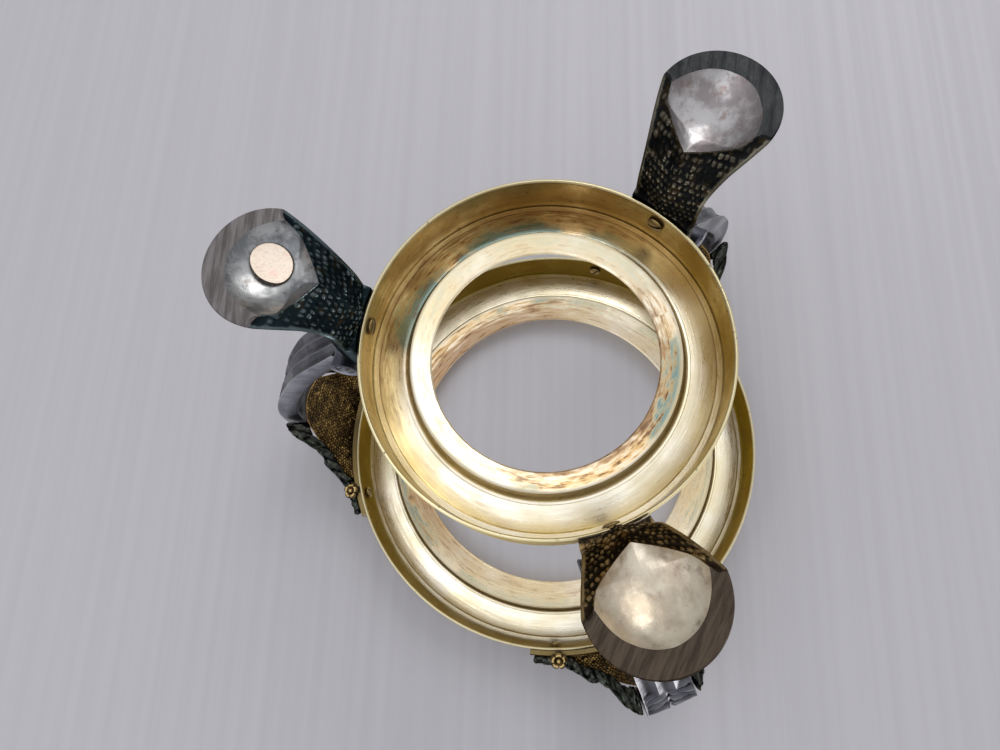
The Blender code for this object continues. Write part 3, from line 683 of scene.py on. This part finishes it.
def ring_piece(name, outline, radius, material):
    """A closed (radius, height) outline turned round the rings' axis."""
    shape = Shape()
    profile = rounded(outline, radius)
    loops = [[radial(p.x, 360.0 * i / RING_STEPS, p.y) for p in profile] for i in range(RING_STEPS)]
    shape.loft(loops, ring=True)
    item = shape.build(name, [material], STAND, 60.0)
    return finish_piece(item, name)


def rim_outline(foot_r, top_r, lip_z, seam_z):
    """A thin upright band: a thickened lip, a wall with a faint bead, and a rolled top edge."""
    wall_top = seam_z + 0.0019
    height = wall_top - lip_z
    bead_low = lip_z + height * 0.80
    bead_r = mix(foot_r, top_r, 0.80)
    outside = [
        (top_r + 0.0001, wall_top + 0.0023),
        (top_r, wall_top + 0.0012),
        (bead_r, bead_low + 0.0008),
        (bead_r, bead_low),
        (foot_r, lip_z + 0.0012),
        (foot_r + 0.0001, lip_z + 0.0005),
    ]
    inside = [
        (foot_r - BAND * 0.6, lip_z),
        (foot_r - BAND, lip_z + 0.0010),
        (top_r - BAND, wall_top + 0.0024),
        (top_r - BAND * 0.4, wall_top + 0.0030),
    ]
    return outside + inside


def plate_outline(outer_r, seam_z, step_r, hole_r, ledge_rise):
    """An annulus that steps to a recessed ledge round an open hole, with a groove at each step's foot."""
    step_z = seam_z - 0.0022
    ledge_z = step_z - 0.0047
    hole_z = ledge_z + ledge_rise
    ledge_r = step_r - 0.0018
    under = [
        (outer_r, seam_z),
        (outer_r - 0.0020, seam_z - 0.00010),
        (outer_r - 0.0024, seam_z - 0.00055),
        (step_r + 0.0014, step_z - 0.00012),
        (step_r + 0.0012, step_z + 0.00012),
        (step_r + 0.0003, step_z + 0.00010),
        (step_r, step_z - 0.0003),
        (step_r - 0.0012, step_z - 0.0016),
        (ledge_r, ledge_z, 0.0004),
        (ledge_r - 0.0012, mix(ledge_z, hole_z, 0.08)),
        (hole_r + 0.0006, hole_z - 0.0002),
        (hole_r, hole_z + 0.0003),
    ]
    over = [
        (hole_r + 0.0003, hole_z + PLATE),
        (ledge_r - 0.0006, hole_z + PLATE),
        (step_r - 0.0012, step_z + PLATE - 0.0003),
        (outer_r, seam_z + PLATE),
    ]
    return under + over


lower_rim = rim_outline(LOWER_RIM_R, LOWER_RIM_R, LOWER_LIP_Z, LOWER_SEAM_Z)
upper_rim = rim_outline(UPPER_WALL_R, UPPER_WALL_TOP_R, UPPER_LIP_Z, UPPER_SEAM_Z)
ring_piece("lower_ring_rim", lower_rim, 0.0003, RIM_GILT)
ring_piece("upper_ring_rim", upper_rim, 0.0003, RIM_GILT)
lower_outer = LOWER_RIM_R - BAND - GAP
upper_outer = UPPER_WALL_TOP_R - BAND - 2 * GAP
lower_plate = plate_outline(lower_outer, LOWER_SEAM_Z, LOWER_STEP_R, LOWER_HOLE_R, LOWER_LEDGE_RISE)
upper_plate = plate_outline(upper_outer, UPPER_SEAM_Z, UPPER_STEP_R, UPPER_HOLE_R, UPPER_LEDGE_RISE)
ring_piece("lower_ring_plate", lower_plate, 0.00015, LOWER_GILT)
ring_piece("upper_ring_plate", upper_plate, 0.00015, UPPER_GILT)


# Feet -----------------------------------------------------
# Height, and there the inner ridge's distance out, the side edge's distance out and half width, and the
# front's distance out.
FOOT_KEYS = (
    (0.0000, 0.0706, SOLE_CENTRE, SOLE_R - 0.0004, SOLE_CENTRE + SOLE_R - 0.0006),
    (0.0012, 0.0705, SOLE_CENTRE - 0.0008, SOLE_R, SOLE_CENTRE + SOLE_R),
    (0.0035, 0.0701, 0.0806, 0.0187, 0.1026),
    (0.0070, 0.0694, 0.0767, 0.0171, 0.0990),
    (0.0120, 0.0672, 0.0722, 0.0150, 0.0925),
    (0.0200, 0.0640, 0.0680, 0.0131, 0.0850),
    (0.0280, 0.0625, 0.0662, 0.0125, 0.0804),
    (LEDGE_Z - 0.0002, 0.0626, 0.0660, 0.0125, 0.0783),
)
ANKLE_KEYS = (
    (LEDGE_Z, 0.0662, 0.0125, 0.0783),
    (0.0460, 0.0668, 0.0122, 0.0787),
    (ANKLE_TOP_Z, 0.0676, 0.0118, 0.0797),
)
FACET_POINTS = 42
FRONT_POINTS = 72
ROW_STEP = 0.00035
SCALE_WIDTH = 0.0020
SCALE_LENGTH = 0.0027
SCALE_HEIGHT = 0.00060
FRONT_FLUTES = 3
FRONT_FLUTE_DEPTH = 0.0009


def front_arc(edge, half, front, z):
    """The rounded outer side of a leg, with hollow flutes above the sole, and its relief values."""
    fade = smooth((z - 0.006) / 0.014)
    points, relief = [], []
    for i in range(FRONT_POINTS + 1):
        t = i / FRONT_POINTS
        angle = math.pi * (0.5 - t)
        hollow = abs(math.sin(math.pi * FRONT_FLUTES * t)) * fade
        depth = 1 - hollow * FRONT_FLUTE_DEPTH / (front - edge)
        out = edge + (front - edge) * math.cos(angle) * depth
        points.append(Vector((out, half * math.sin(angle) * depth, z)))
        relief.append(mix(0.55, 1.0 - hollow, fade))
    return points, relief


def foot_loop(z, seed):
    """Below the ledge the inner side is two facets of raised scales, framed by a plain arris."""
    ridge, edge, half, front = along(FOOT_KEYS, z)
    loop, relief = front_arc(edge, half, front, z)
    facet = math.hypot(edge - ridge, half)
    for i in range(1, 2 * FACET_POINTS):
        side = -1 + i / FACET_POINTS
        share = abs(side)
        across = share * facet
        height = scales(across, z, SCALE_WIDTH, SCALE_LENGTH, seed)
        x, y = mix(ridge, edge, share), half * side
        frame_in = smooth((facet - across) / 0.0009 - 0.9) * smooth(outside_dish(x, y, z) / 0.0006 - 0.9)
        height *= frame_in * smooth((z - 0.0015) / 0.002)
        sunk = (height - 1.0) * SCALE_HEIGHT * frame_in
        outward = Vector((-half, math.copysign(edge - ridge, side) if side else 0.0, 0)) / facet
        loop.append(Vector((x, y, z)) + outward * sunk)
        relief.append(mix(0.95, height, frame_in))
    return loop, relief


def ankle_loop(z):
    """Beside the lower ring the inner side is hollowed to the ring's rim band."""
    edge, half, front = along(ANKLE_KEYS, z)
    seat = LOWER_RIM_R + 2 * GAP
    loop, relief = front_arc(edge, half, front, z)
    for i in range(1, 2 * FACET_POINTS):
        side = -1 + i / FACET_POINTS
        y = half * side * 0.97
        loop.append(Vector((math.sqrt(seat**2 - y**2), y, z)))
        relief.append(0.4)
    return loop, relief


def dish_ball():
    """Centre and radius, in the leg's middle plane, of the ball that hollows the sole."""
    chord = DISH_APEX - DISH_FRONT
    half = chord.length / 2
    radius = (half**2 + DISH_DEPTH**2) / (2 * DISH_DEPTH)
    down = Vector((-chord.z, 0, chord.x)).normalized()
    centre = (DISH_FRONT + DISH_APEX) / 2 + down * (radius - DISH_DEPTH)
    return centre, radius


def dish_taper(x, y):
    """How much nearer the middle the hollow's side stands, towards the ridge, than a ball's would."""
    if x >= 0:
        return 1.0
    return mix(1.0, math.hypot(x, y) / (abs(x) + abs(y)), DISH_POINT)


def outside_dish(x, y, z):
    """How far a point of a foot stands outside the hollow of its sole."""
    centre, radius = dish_ball()
    out, side, up = x - centre.x, y / DISH_WIDEN, z - centre.z
    return math.hypot(math.hypot(out, side) / dish_taper(out, side), up) - radius


def dish_cutter(number):
    """The ball that hollows the sole, with the faint waves of hand polishing."""
    centre, radius = dish_ball()
    bm = bmesh.new()
    bmesh.ops.create_icosphere(bm, subdivisions=7, radius=1.0)
    seed = Vector((number * 3.7, 0, 0))
    for vertex in bm.verts:
        wave = noise.noise(vertex.co * 4.2 + seed) * 0.5 + noise.noise(vertex.co * 9.0 + seed) * 0.22
        taper = dish_taper(vertex.co.x, vertex.co.y)
        vertex.co = vertex.co * (radius + wave * 0.00030)
        vertex.co = (vertex.co.x * taper, vertex.co.y * taper * DISH_WIDEN, vertex.co.z)
    bmesh.ops.translate(bm, vec=centre, verts=bm.verts)
    mesh = bpy.data.meshes.new("dish")
    bm.to_mesh(mesh)
    bm.free()
    mesh.materials.append(DISHES[number])
    mesh.transform(leg_frame(number))
    mesh.shade_smooth()
    return add_object("dish cutter", mesh)


def roll_cutter(number):
    shape = Shape()
    radius = ROLL_R + GAP
    shape.turned([(0, -0.02), (radius, -0.02), (radius, 0.02), (0, 0.02)], 64)
    shape.move(Matrix.Translation((ROLL_AT[0], 0, ROLL_AT[1])) @ Matrix.Rotation(math.pi / 2, 4, "X"))
    return shape.build("roll cutter", [SCALED[number]], leg_frame(number))


def make_foot(number):
    heights = [0.0, 0.0002, 0.0005, 0.0009, 0.0013, 0.0018, 0.0023]
    while heights[-1] + ROW_STEP < LEDGE_Z - 0.0003:
        heights.append(heights[-1] + ROW_STEP)
    heights.append(LEDGE_Z - 0.0002)
    rows = [foot_loop(z, number * 20.0) for z in heights]
    ankle_rows = 24
    rows += [ankle_loop(mix(LEDGE_Z, ANKLE_TOP_Z, i / ankle_rows)) for i in range(ankle_rows + 1)]
    shape = Shape()
    shape.loft([row[0] for row in rows], [row[1] for row in rows])
    paints = [SCALED[number], DISHES[number], SOLES[number]]
    item = shape.build(f"leg {number} foot", paints, leg_frame(number))
    for polygon in item.data.polygons:
        if polygon.center.z < 0.0007:
            polygon.material_index = 2
    apply_booleans(item, [dish_cutter(number), roll_cutter(number)], 34.0)
    return finish_piece(item, f"leg_{number}_foot")


# Scrolls --------------------------------------------------
STRAP_KEYS = (
    (0.00, 0.0775, 0.0640),
    (0.12, 0.0850, 0.0735),
    (0.28, 0.0960, 0.0870),
    (0.45, 0.1080, 0.1040),
    (0.62, 0.1200, 0.1255),
    (0.76, 0.1284, 0.1430),
    (0.88, 0.1340, 0.1600),
    (0.96, 0.1352, 0.1730),
    (1.00, 0.1346, 0.1800),
)
STRAP_ROWS = 150
FLUTES = 3
FLUTE_STEPS = 16
FLUTE_DEPTH = 0.0016  # 0.5 mm more than in the part
LEAF_START = 0.60
BACK_POINTS = 30


def strap_section(half, depth, t):
    """Outline across the strap: three hollow flutes outside, a carved leaf on the inner face."""
    outline, relief = [], []
    for i in range(FLUTES * FLUTE_STEPS + 1):
        share = i / (FLUTES * FLUTE_STEPS)
        hollow = abs(math.sin(math.pi * FLUTES * share))
        side = 1 - 2 * share
        leaf = smooth((t - LEAF_START - 0.08 * (1 - abs(side))) / 0.05) * smooth((1.0 - abs(side)) / 0.10)
        wander = noise.noise(Vector((t * 22.0, side * 1.7, 2.0)))
        lobe = abs(math.sin(t * 52.0 - abs(side) * 2.6 + 1.6 * wander)) ** 0.7
        vein = 1 - smooth(abs(side) / 0.09)
        carved = 1 - 0.95 * lobe + 0.4 * vein + 0.5 * max(wander, 0.0)
        hollow = mix(hollow, min(carved, 1.2), leaf)
        outline.append((half * side, depth / 2 - max(hollow, 0.0) * FLUTE_DEPTH))
        # This relief feeds the grey silver's painted shade in the hollows and painted highlights on the
        # crests.
        relief.append(max(1.0 - mix(0.75, 1.1, leaf) * hollow, 0.0))
    flank = [(1.0, 0.36), (0.97, 0.0), (0.90, -0.42)]
    outline += [(-half * across, depth * up) for across, up in flank]
    relief += [0.45] * len(flank)
    for i in range(BACK_POINTS + 1):
        side = -1 + 2 * i / BACK_POINTS
        vein = 1 - smooth(abs(side) / 0.10)
        barbs = 0.5 + 0.5 * math.sin(t * 62.0 - abs(side) * 5.0)
        leaf = smooth((0.92 - abs(side)) / 0.14)
        carve = leaf * (0.00055 * barbs * (1 - vein) - 0.0003 * vein)
        outline.append((half * 0.86 * side, -depth / 2 - 0.0006 * (1 - abs(side)) + carve))
        # Low relief in the back's carving feeds the grey silver's painted shade.
        relief.append(mix(0.7, 0.9 - 0.9 * barbs * leaf, leaf))
    outline += [(half * across, depth * up) for across, up in reversed(flank)]
    relief += [0.45] * len(flank)
    return outline, relief


def roll_profile(radius, half):
    """From one end face of a roll to the other: a raised eye, a volute groove, and the fluted drum."""
    end = [(0.0, 0.965), (0.24, 0.99), (0.30, 0.975), (0.34, 0.93)]
    end += [(0.58, 0.92), (0.64, 0.96), (0.90, 0.985), (1.0, 0.95)]
    points = [(r * radius, -share * half) for r, share in end]
    drum_steps = FLUTES * 12
    for i in range(1, drum_steps):
        t = i / drum_steps
        hollow = abs(math.sin(math.pi * FLUTES * t))
        points.append((radius - hollow * FLUTE_DEPTH * 0.6, mix(-0.95, 0.95, t) * half))
    points += [(r * radius, share * half) for r, share in reversed(end)]
    return points


def add_roll(shape, at, radius, half, turn_degrees):
    start = len(shape.points)
    shape.turned(roll_profile(radius, half), 64, 0.62)
    place = Matrix.Rotation(math.radians(turn_degrees), 4, "Z") @ Matrix.Translation((at[0], 0, at[1]))
    shape.move(place @ Matrix.Rotation(math.pi / 2, 4, "X"), start)


def make_scroll(number):
    loops, reliefs = [], []
    step = 0.004
    for i in range(STRAP_ROWS + 1):
        t = i / STRAP_ROWS
        x, z = along(STRAP_KEYS, t)
        back = Vector(along(STRAP_KEYS, max(t - step, 0.0)))
        ahead = Vector(along(STRAP_KEYS, min(t + step, 1.0)))
        tangent = (ahead - back).normalized()
        outward = Vector((tangent.y, -tangent.x))
        half = STRAP_HALF_WIDTH * mix(0.80, 1.0, min(t / 0.5, 1.0))
        half += STRAP_FLARE * max(t - STRAP_FLARE_START, 0.0) / (1 - STRAP_FLARE_START)
        depth = STRAP_DEPTH * mix(0.85, 1.0, min(t / 0.4, 1.0))
        turn = Matrix.Rotation(math.radians(CONSOLE_TURN) * t, 3, "Z")
        outline, relief = strap_section(half, depth, t)
        loop = []
        for side, out in outline:
            loop.append(turn @ Vector((x + out * outward.x, side, z + out * outward.y)))
        loops.append(loop)
        reliefs.append(relief)
    shape = Shape()
    shape.loft(loops, reliefs)
    add_roll(shape, ROLL_AT, ROLL_R, ROLL_HALF, 0.0)
    add_roll(shape, KNEE_ROLL_AT, KNEE_ROLL_R, STRAP_HALF_WIDTH + STRAP_FLARE + 0.0004, CONSOLE_TURN)
    item = shape.build(f"leg {number} scroll", [GREY_SILVER], leg_frame(number), 30.0)
    return finish_piece(item, f"leg_{number}_scroll")


# Consoles -------------------------------------------------
CONSOLE_ROWS = 360
UNDER_POINTS = 60
HATCH_WIDTH = 0.0017
HATCH_LENGTH = 0.0016
HATCH_HEIGHT = 0.00055


def wall_r(z):
    t = (z - UPPER_LIP_Z) / (UPPER_SEAM_Z - UPPER_LIP_Z)
    return mix(UPPER_WALL_R, UPPER_WALL_TOP_R, t)


def console_contour(degrees):
    """Distance out and height of the line that a border follows, at an angle from the leg's middle plane."""
    share = max(1 - (degrees / CONSOLE_REACH) ** 2, 0.0) ** 1.5
    return mix(CONSOLE_RIM_R, CONSOLE_TIP_R, share), mix(CONSOLE_RIM_Z, CONSOLE_TIP_Z, share)


def console_edge(degrees):
    """The console's free edge: the contour, with a tongue that runs down the strap's back."""
    r, z = console_contour(degrees)
    tongue = min(max(1 - abs(degrees) / TONGUE_SPREAD, 0.0) * 2.5, 1.0)
    return r + TONGUE_OUT * tongue, z - TONGUE_DROP * tongue


def console_loop(degrees):
    """One upright section of a console: flange, hatched underside, free edge and plain top."""
    edge_r, edge_z = console_edge(degrees)
    foot_r = wall_r(FLANGE_FOOT_Z) + 2 * GAP
    top_r = wall_r(FLANGE_TOP_Z) + 2 * GAP
    edge_r = max(edge_r, foot_r + FLANGE + 0.0006)
    bend = (foot_r + FLANGE, FLANGE_FOOT_Z + 0.0030)
    middle = (mix(bend[0], edge_r, 0.5), mix(bend[1], edge_z, 0.5) + 0.0012)
    keys = ((0.0, *bend), (0.5, *middle), (1.0, edge_r, edge_z))
    run = math.hypot(edge_r - bend[0], edge_z - bend[1])
    section = [(foot_r, FLANGE_FOOT_Z), (foot_r + FLANGE * 0.9, FLANGE_FOOT_Z)]
    section.append((foot_r + FLANGE, FLANGE_FOOT_Z + 0.0003))
    relief = [0.9, 0.9, 0.9]
    inset = smooth(run / 0.004)
    normal = Vector((edge_z - bend[1], bend[0] - edge_r)).normalized() if run > 1e-6 else Vector((0, -1))
    for i in range(UNDER_POINTS + 1):
        t = i / UNDER_POINTS
        r, z = along(keys, t)
        framing = smooth(t * run / 0.0012 - 0.4) * smooth((1 - t) * run / 0.0010 - 0.4) * inset
        height = scales(math.radians(degrees) * 0.118, t * run + 0.0002, HATCH_WIDTH, HATCH_LENGTH)
        sunk = (1 - height) * HATCH_HEIGHT * framing
        section.append((r - normal.x * sunk, z - normal.y * sunk))
        relief.append(mix(0.85, height, framing))
    over = [
        (edge_r, edge_z + WEB),
        (mix(top_r, edge_r, 0.55), mix(FLANGE_TOP_Z, edge_z + WEB, 0.55) + 0.0026),
        (mix(top_r, edge_r, 0.22), mix(FLANGE_TOP_Z, edge_z + WEB, 0.22) + 0.0018),
        (top_r, FLANGE_TOP_Z),
    ]
    section += over
    relief += [0.8, 0.6, 0.5, 0.8]
    return [radial(r, degrees, z) for r, z in section], relief


def make_console(number):
    shares = [i / CONSOLE_ROWS for i in range(CONSOLE_ROWS + 1)]
    rows = [console_loop(mix(-CONSOLE_SPREAD, CONSOLE_SPREAD, share)) for share in shares]
    shape = Shape()
    count = len(rows[0][0])
    paint = [1 if i < 4 or i == count - 1 else 0 for i in range(count)]
    shape.loft([row[0] for row in rows], [row[1] for row in rows], paint=paint)
    item = shape.build(f"leg {number} console", [BROWN_GILT, RIM_GILT], knee_frame(number), 38.0)
    return finish_piece(item, f"leg_{number}_console")


# Borders and rosettes -------------------------------------
BORDER_ROWS = 190
BORDER_SIDES = 28
LOBES = 5
BORDER_KNEE_R = 0.0034
BORDER_RIM_R = 0.0021
KNOB_AT = 0.07
KNOB_SPAN = 0.16
KNOB_RADIUS = 0.0016
KNOB_OUT = 0.0032
KNOB_DROP = 0.0105
HUG_AT = 0.24
HUG_SPAN = 0.17


def border_middle(t):
    """Angle, middle line and radius of the border, from the knob at the knee to the rim."""
    degrees = mix(BORDER_START, BORDER_END, t)
    knob = max(1 - ((t - KNOB_AT) / KNOB_SPAN) ** 2, 0.0)
    lobed = 0.82 + 0.18 * abs(math.cos(math.pi * LOBES * t))
    radius = mix(BORDER_KNEE_R, BORDER_RIM_R, t) * lobed + KNOB_RADIUS * knob
    edge_r, edge_z = console_contour(degrees)
    edge_r = max(edge_r, wall_r(FLANGE_FOOT_Z) + FLANGE + 0.0006)
    out = edge_r + radius + 3 * GAP + KNOB_OUT * knob
    return degrees, out, edge_z + WEB / 2 - KNOB_DROP * knob, radius


def leaf_relief(t, turn, seed):
    """Carved leaf over the border, negative in its clefts: lobes, veins along them and rough casting."""
    outward = math.cos(turn)
    phase = LOBES * 1.6 * t + 0.22 * outward + 0.08 * seed
    lobe = abs(math.sin(math.pi * phase)) ** 0.6
    veins = 0.5 + 0.5 * math.sin(turn * 7.0 + 3.0 * math.sin(math.tau * phase))
    rough = noise.noise(Vector((t * 34.0, math.cos(turn) * 1.6, math.sin(turn) * 1.6 + seed)))
    return -(0.50 * (1 - lobe) + 0.26 * veins * lobe + 0.55 * max(rough, 0.0))


def make_border(number, side, sign):
    loops, reliefs = [], []
    for i in range(BORDER_ROWS + 1):
        t = (i / BORDER_ROWS) ** 1.3
        degrees, r, z, radius = border_middle(t)
        end = min(i, BORDER_ROWS - i) / (BORDER_ROWS * 0.035)
        radius *= math.sqrt(max(1 - (1 - min(end, 1.0)) ** 2, 0.02))
        hug = max(1 - ((t - HUG_AT) / HUG_SPAN) ** 2, 0.0)  # drawn in against the console
        loop, relief = [], []
        for k in range(BORDER_SIDES):
            turn = math.tau * k / BORDER_SIDES
            carved = leaf_relief(t, turn, number * 5.0 + sign)
            size = 1.42 * radius * (1 + 0.42 * carved)
            at_r = r - (0.45 + 0.55 * hug) * radius + size * math.cos(turn)
            loop.append(radial(at_r, sign * degrees, z + 0.95 * size * math.sin(turn)))
            relief.append(min(max(1.0 + 1.1 * carved, 0.0), 1.0))
        loops.append(loop)
        reliefs.append(relief)
    shape = Shape()
    shape.loft(loops, reliefs)
    item = shape.build(f"leg {number} border {side}", [LEAF], knee_frame(number), 60.0)
    return finish_piece(item, f"leg_{number}_border_{side}")


def make_rosette(number, side, sign):
    """A five-petalled flower with a domed eye."""
    shape = Shape()
    petals = 5
    points = 100
    loops, reliefs = [], []
    rings = 22
    for k in range(rings + 1):
        share = 1 - k / rings * 0.97
        loop, relief = [], []
        for i in range(points):
            turn = math.tau * i / points
            between = 1 - abs(math.cos(petals * turn / 2))
            lobe = 1 - 0.24 * share * between**2
            petal = math.sin(math.pi * smooth((share - 0.30) / 0.70)) if share > 0.30 else 0.0
            cleft = smooth((between - 0.72) / 0.28)
            eye = math.sqrt(max(1 - (share / 0.30) ** 2, 0.0)) if share < 0.30 else 0.0
            z = 0.0007 + 0.0011 * petal * (1 - 0.85 * cleft) + 0.0015 * eye
            reach = ROSETTE_R * share * lobe
            loop.append(Vector((reach * math.cos(turn), reach * math.sin(turn), z)))
            relief.append(min(1.0, 0.15 + 0.85 * max(petal * (1 - cleft), eye)))
        loops.append(loop)
        reliefs.append(relief)
    base = [Vector((p.x, p.y, 0.0)) for p in loops[0]]
    shape.loft([base] + loops, [reliefs[0]] + reliefs)
    place = Matrix.Translation(radial(ROSETTE_AT[0], sign * ROSETTE_ANGLE, ROSETTE_AT[1]))
    place = place @ Matrix.Rotation(math.radians(sign * ROSETTE_ANGLE), 4, "Z")
    place = place @ Matrix.Rotation(math.pi / 2 + math.radians(ROSETTE_TILT), 4, "Y")
    item = shape.build(f"leg {number} rosette {side}", [OLD_BRASS], knee_frame(number) @ place, 40.0)
    return finish_piece(item, f"leg_{number}_rosette_{side}")


# Screws and label -----------------------------------------
def make_screw(node, matrix, wall_inner_r, z, degrees, twist):
    """A slotted round-head screw on the inside of a rim band."""
    head = 0.0012
    shape = Shape()
    profile = [(0.0, head)]
    for i in range(1, 9):
        angle = math.pi / 2 * i / 8
        profile.append((SCREW_HEAD_R * math.sin(angle), head * (0.25 + 0.75 * math.cos(angle))))
    profile += [(SCREW_HEAD_R, 0.0001), (SCREW_HEAD_R - 0.0001, 0.0), (SCREW_SHANK_R, 0.0)]
    profile += [(SCREW_SHANK_R, -SCREW_LENGTH), (0.0, -SCREW_LENGTH)]
    shape.turned(profile, 56, 0.75)
    slot = Shape()
    corners = [(-0.0004, -0.004), (0.0004, -0.004), (0.0004, 0.004), (-0.0004, 0.004)]
    slot.loft([[Vector((x, y, h)) for x, y in corners] for h in (0.0006, 0.0020)], [[0.0] * 4] * 2)
    seat = Matrix.Translation(radial(wall_inner_r - 2 * GAP, degrees, z))
    seat = seat @ Matrix.Rotation(math.radians(degrees), 4, "Z") @ Matrix.Rotation(-math.pi / 2, 4, "Y")
    seat = matrix @ seat @ Matrix.Rotation(math.radians(twist), 4, "Z")
    item = shape.build(node.replace("_", " "), [OLD_BRASS], seat, 35.0)
    apply_booleans(item, [slot.build("slot", [OLD_BRASS], seat)], 35.0)
    return finish_piece(item, node)


LABEL_FACES = (0.00055, 0.00070)  # how far the label's two faces stand off the hollow
LABEL_CURL = 0.0012


def make_label():
    """A round paper label stuck in the first leg's dish, one edge lifting."""
    centre, radius = dish_ball()
    rings, points = 22, 96
    shape = Shape()
    faces = []
    for lift in LABEL_FACES:
        rows = []
        for k in range(rings + 1):
            share = k / rings
            row = []
            for i in range(points):
                turn = math.tau * i / points
                wobble = 1 + 0.012 * math.sin(turn * 3 + 1.0)
                x = LABEL_AT[0] + LABEL_R * share * wobble * math.cos(turn)
                y = LABEL_AT[1] + LABEL_R * share * wobble * math.sin(turn)
                out, side = x - centre.x, y / DISH_WIDEN
                flat = math.hypot(out, side) / dish_taper(out, side)
                height = math.sqrt(radius**2 - flat**2)
                normal = Vector((out, side / DISH_WIDEN, height)).normalized()
                lifted = smooth((math.cos(turn + math.radians(60)) - 0.35) / 0.65)
                curl = LABEL_CURL * smooth((share - 0.45) / 0.55) * lifted
                row.append(Vector((x, y, centre.z + height)) - normal * (lift + curl))
            rows.append(row)
        faces.append(rows)
    loops = faces[1][1:] + list(reversed(faces[0][1:]))
    edge = [[mix(1.0, 0.3, smooth((k / rings - 0.9) / 0.1))] * points for k in range(1, rings + 1)]
    shape.loft(loops, edge + list(reversed(edge)))
    item = shape.build("lot label", [PAPER], leg_frame(1), 50.0)
    return finish_piece(item, "lot_label")


for leg in LEG_AZIMUTHS:
    make_foot(leg)
    make_scroll(leg)
    make_console(leg)
    make_screw(f"leg_{leg}_ankle_screw", leg_frame(leg), LOWER_RIM_R - BAND, LOWER_SCREW_Z, 0.0, 25.0)
    for leg_side, leg_sign in (("left", 1), ("right", -1)):
        make_border(leg, leg_side, leg_sign)
        make_rosette(leg, leg_side, leg_sign)
        inner_r = wall_r(UPPER_SCREW_Z) - BAND
        screw_node = f"leg_{leg}_rim_screw_{leg_side}"
        make_screw(screw_node, knee_frame(leg), inner_r, UPPER_SCREW_Z, leg_sign * UPPER_SCREW_ANGLE, 60.0)
make_label()


# Stage, lights and camera ---------------------------------
def make_stage(name, z, facing, colour, grain_scale, turned_by):
    """A wide level sheet at a height, seen only from the side it faces."""
    half = 1.6
    corners = [(-half, -half, z), (half, -half, z), (half, half, z), (-half, half, z)]
    mesh = bpy.data.meshes.new(name)
    mesh.from_pydata(corners, [], [(0, 1, 2, 3) if facing > 0 else (3, 2, 1, 0)])
    mesh.materials.append(make_one_sided(name, colour, grain_scale, turned_by))
    item = add_object(name, mesh)
    item.visible_shadow = False
    item.visible_diffuse = False
    item.visible_glossy = False


def make_light(name, location, target, size, power, colour):
    data = bpy.data.lights.new(name, "AREA")
    data.shape = "DISK"
    data.size = size
    data.energy = power
    data.color = colour
    item = add_object(name, data)
    item.location = location
    item.rotation_mode = "QUATERNION"
    item.rotation_quaternion = (Vector(target) - Vector(location)).to_track_quat("-Z", "Y")
    return item


def make_world(colour, below, level, above):
    """A soft pale surround whose strength runs from below, through level, to above."""
    world = bpy.data.worlds.new("studio")
    world.use_nodes = True
    nodes, links = world.node_tree.nodes, world.node_tree.links
    parts = nodes.new("ShaderNodeSeparateXYZ")
    links.new(nodes.new("ShaderNodeTexCoord").outputs["Generated"], parts.inputs[0])
    ramp = nodes.new("ShaderNodeValToRGB")
    ramp.color_ramp.interpolation = "EASE"
    ramp.color_ramp.elements[0].color = (below, below, below, 1.0)
    ramp.color_ramp.elements[1].color = (above, above, above, 1.0)
    middle_stop = ramp.color_ramp.elements.new(0.5)
    middle_stop.color = (level, level, level, 1.0)
    scaled = nodes.new("ShaderNodeMath")
    scaled.operation = "MULTIPLY_ADD"
    scaled.inputs[1].default_value = 0.5
    scaled.inputs[2].default_value = 0.5
    links.new(parts.outputs[2], scaled.inputs[0])
    links.new(scaled.outputs[0], ramp.inputs[0])
    background = nodes["Background"]
    background.inputs["Color"].default_value = (*colour, 1.0)
    links.new(ramp.outputs[0], background.inputs["Strength"])
    bpy.context.scene.world = world


make_stage("floor", 0.0, 1, srgb(206, 205, 204), (40.0, 40.0, 40.0), 0.0)
make_stage("sheet_above", cad_high.z + 0.0008, -1, srgb(160, 158, 163), (1.5, 156.0, 1.0), 69.0)
make_world((0.97, 0.98, 1.0), 1.18, 0.68, 0.80)
middle = (cad_low + cad_high) / 2
make_light("low key", (-0.75, 0.75, -0.95), middle, 0.9, 7.0, (1.0, 0.98, 0.95))
make_light("low fill", (0.80, -0.30, -0.90), middle, 1.0, 3.0, (0.95, 0.97, 1.0))
make_light("high key", (-0.9, -0.9, 1.35), middle, 0.9, 11.0, (1.0, 0.98, 0.95))
make_light("high fill", (1.0, -0.5, 1.0), middle, 1.0, 5.0, (0.95, 0.97, 1.0))

LENS_MM = 25.85
SENSOR_MM = 36.0
CAMERA_AT = (0.0205, -0.0728, -0.1911)  # from the foot of the rings' axis: it looks up from under the soles
CAMERA_AXES = ((-0.9400, -0.3292, 0.0840), (-0.3393, 0.8994, -0.2758), (0.0151, -0.2882, -0.9575))
camera_data = bpy.data.cameras.new("camera")
camera_data.lens = LENS_MM
camera_data.sensor_width = SENSOR_MM
camera_data.clip_start = 0.01
camera = add_object("camera", camera_data)
turned_axes = Matrix([Vector(axis).normalized() for axis in CAMERA_AXES]).transposed()
camera.matrix_world = STAND @ Matrix.Translation(CAMERA_AT) @ turned_axes.to_4x4()
bpy.context.scene.camera = camera
bpy.context.scene.view_settings.view_transform = "Standard"
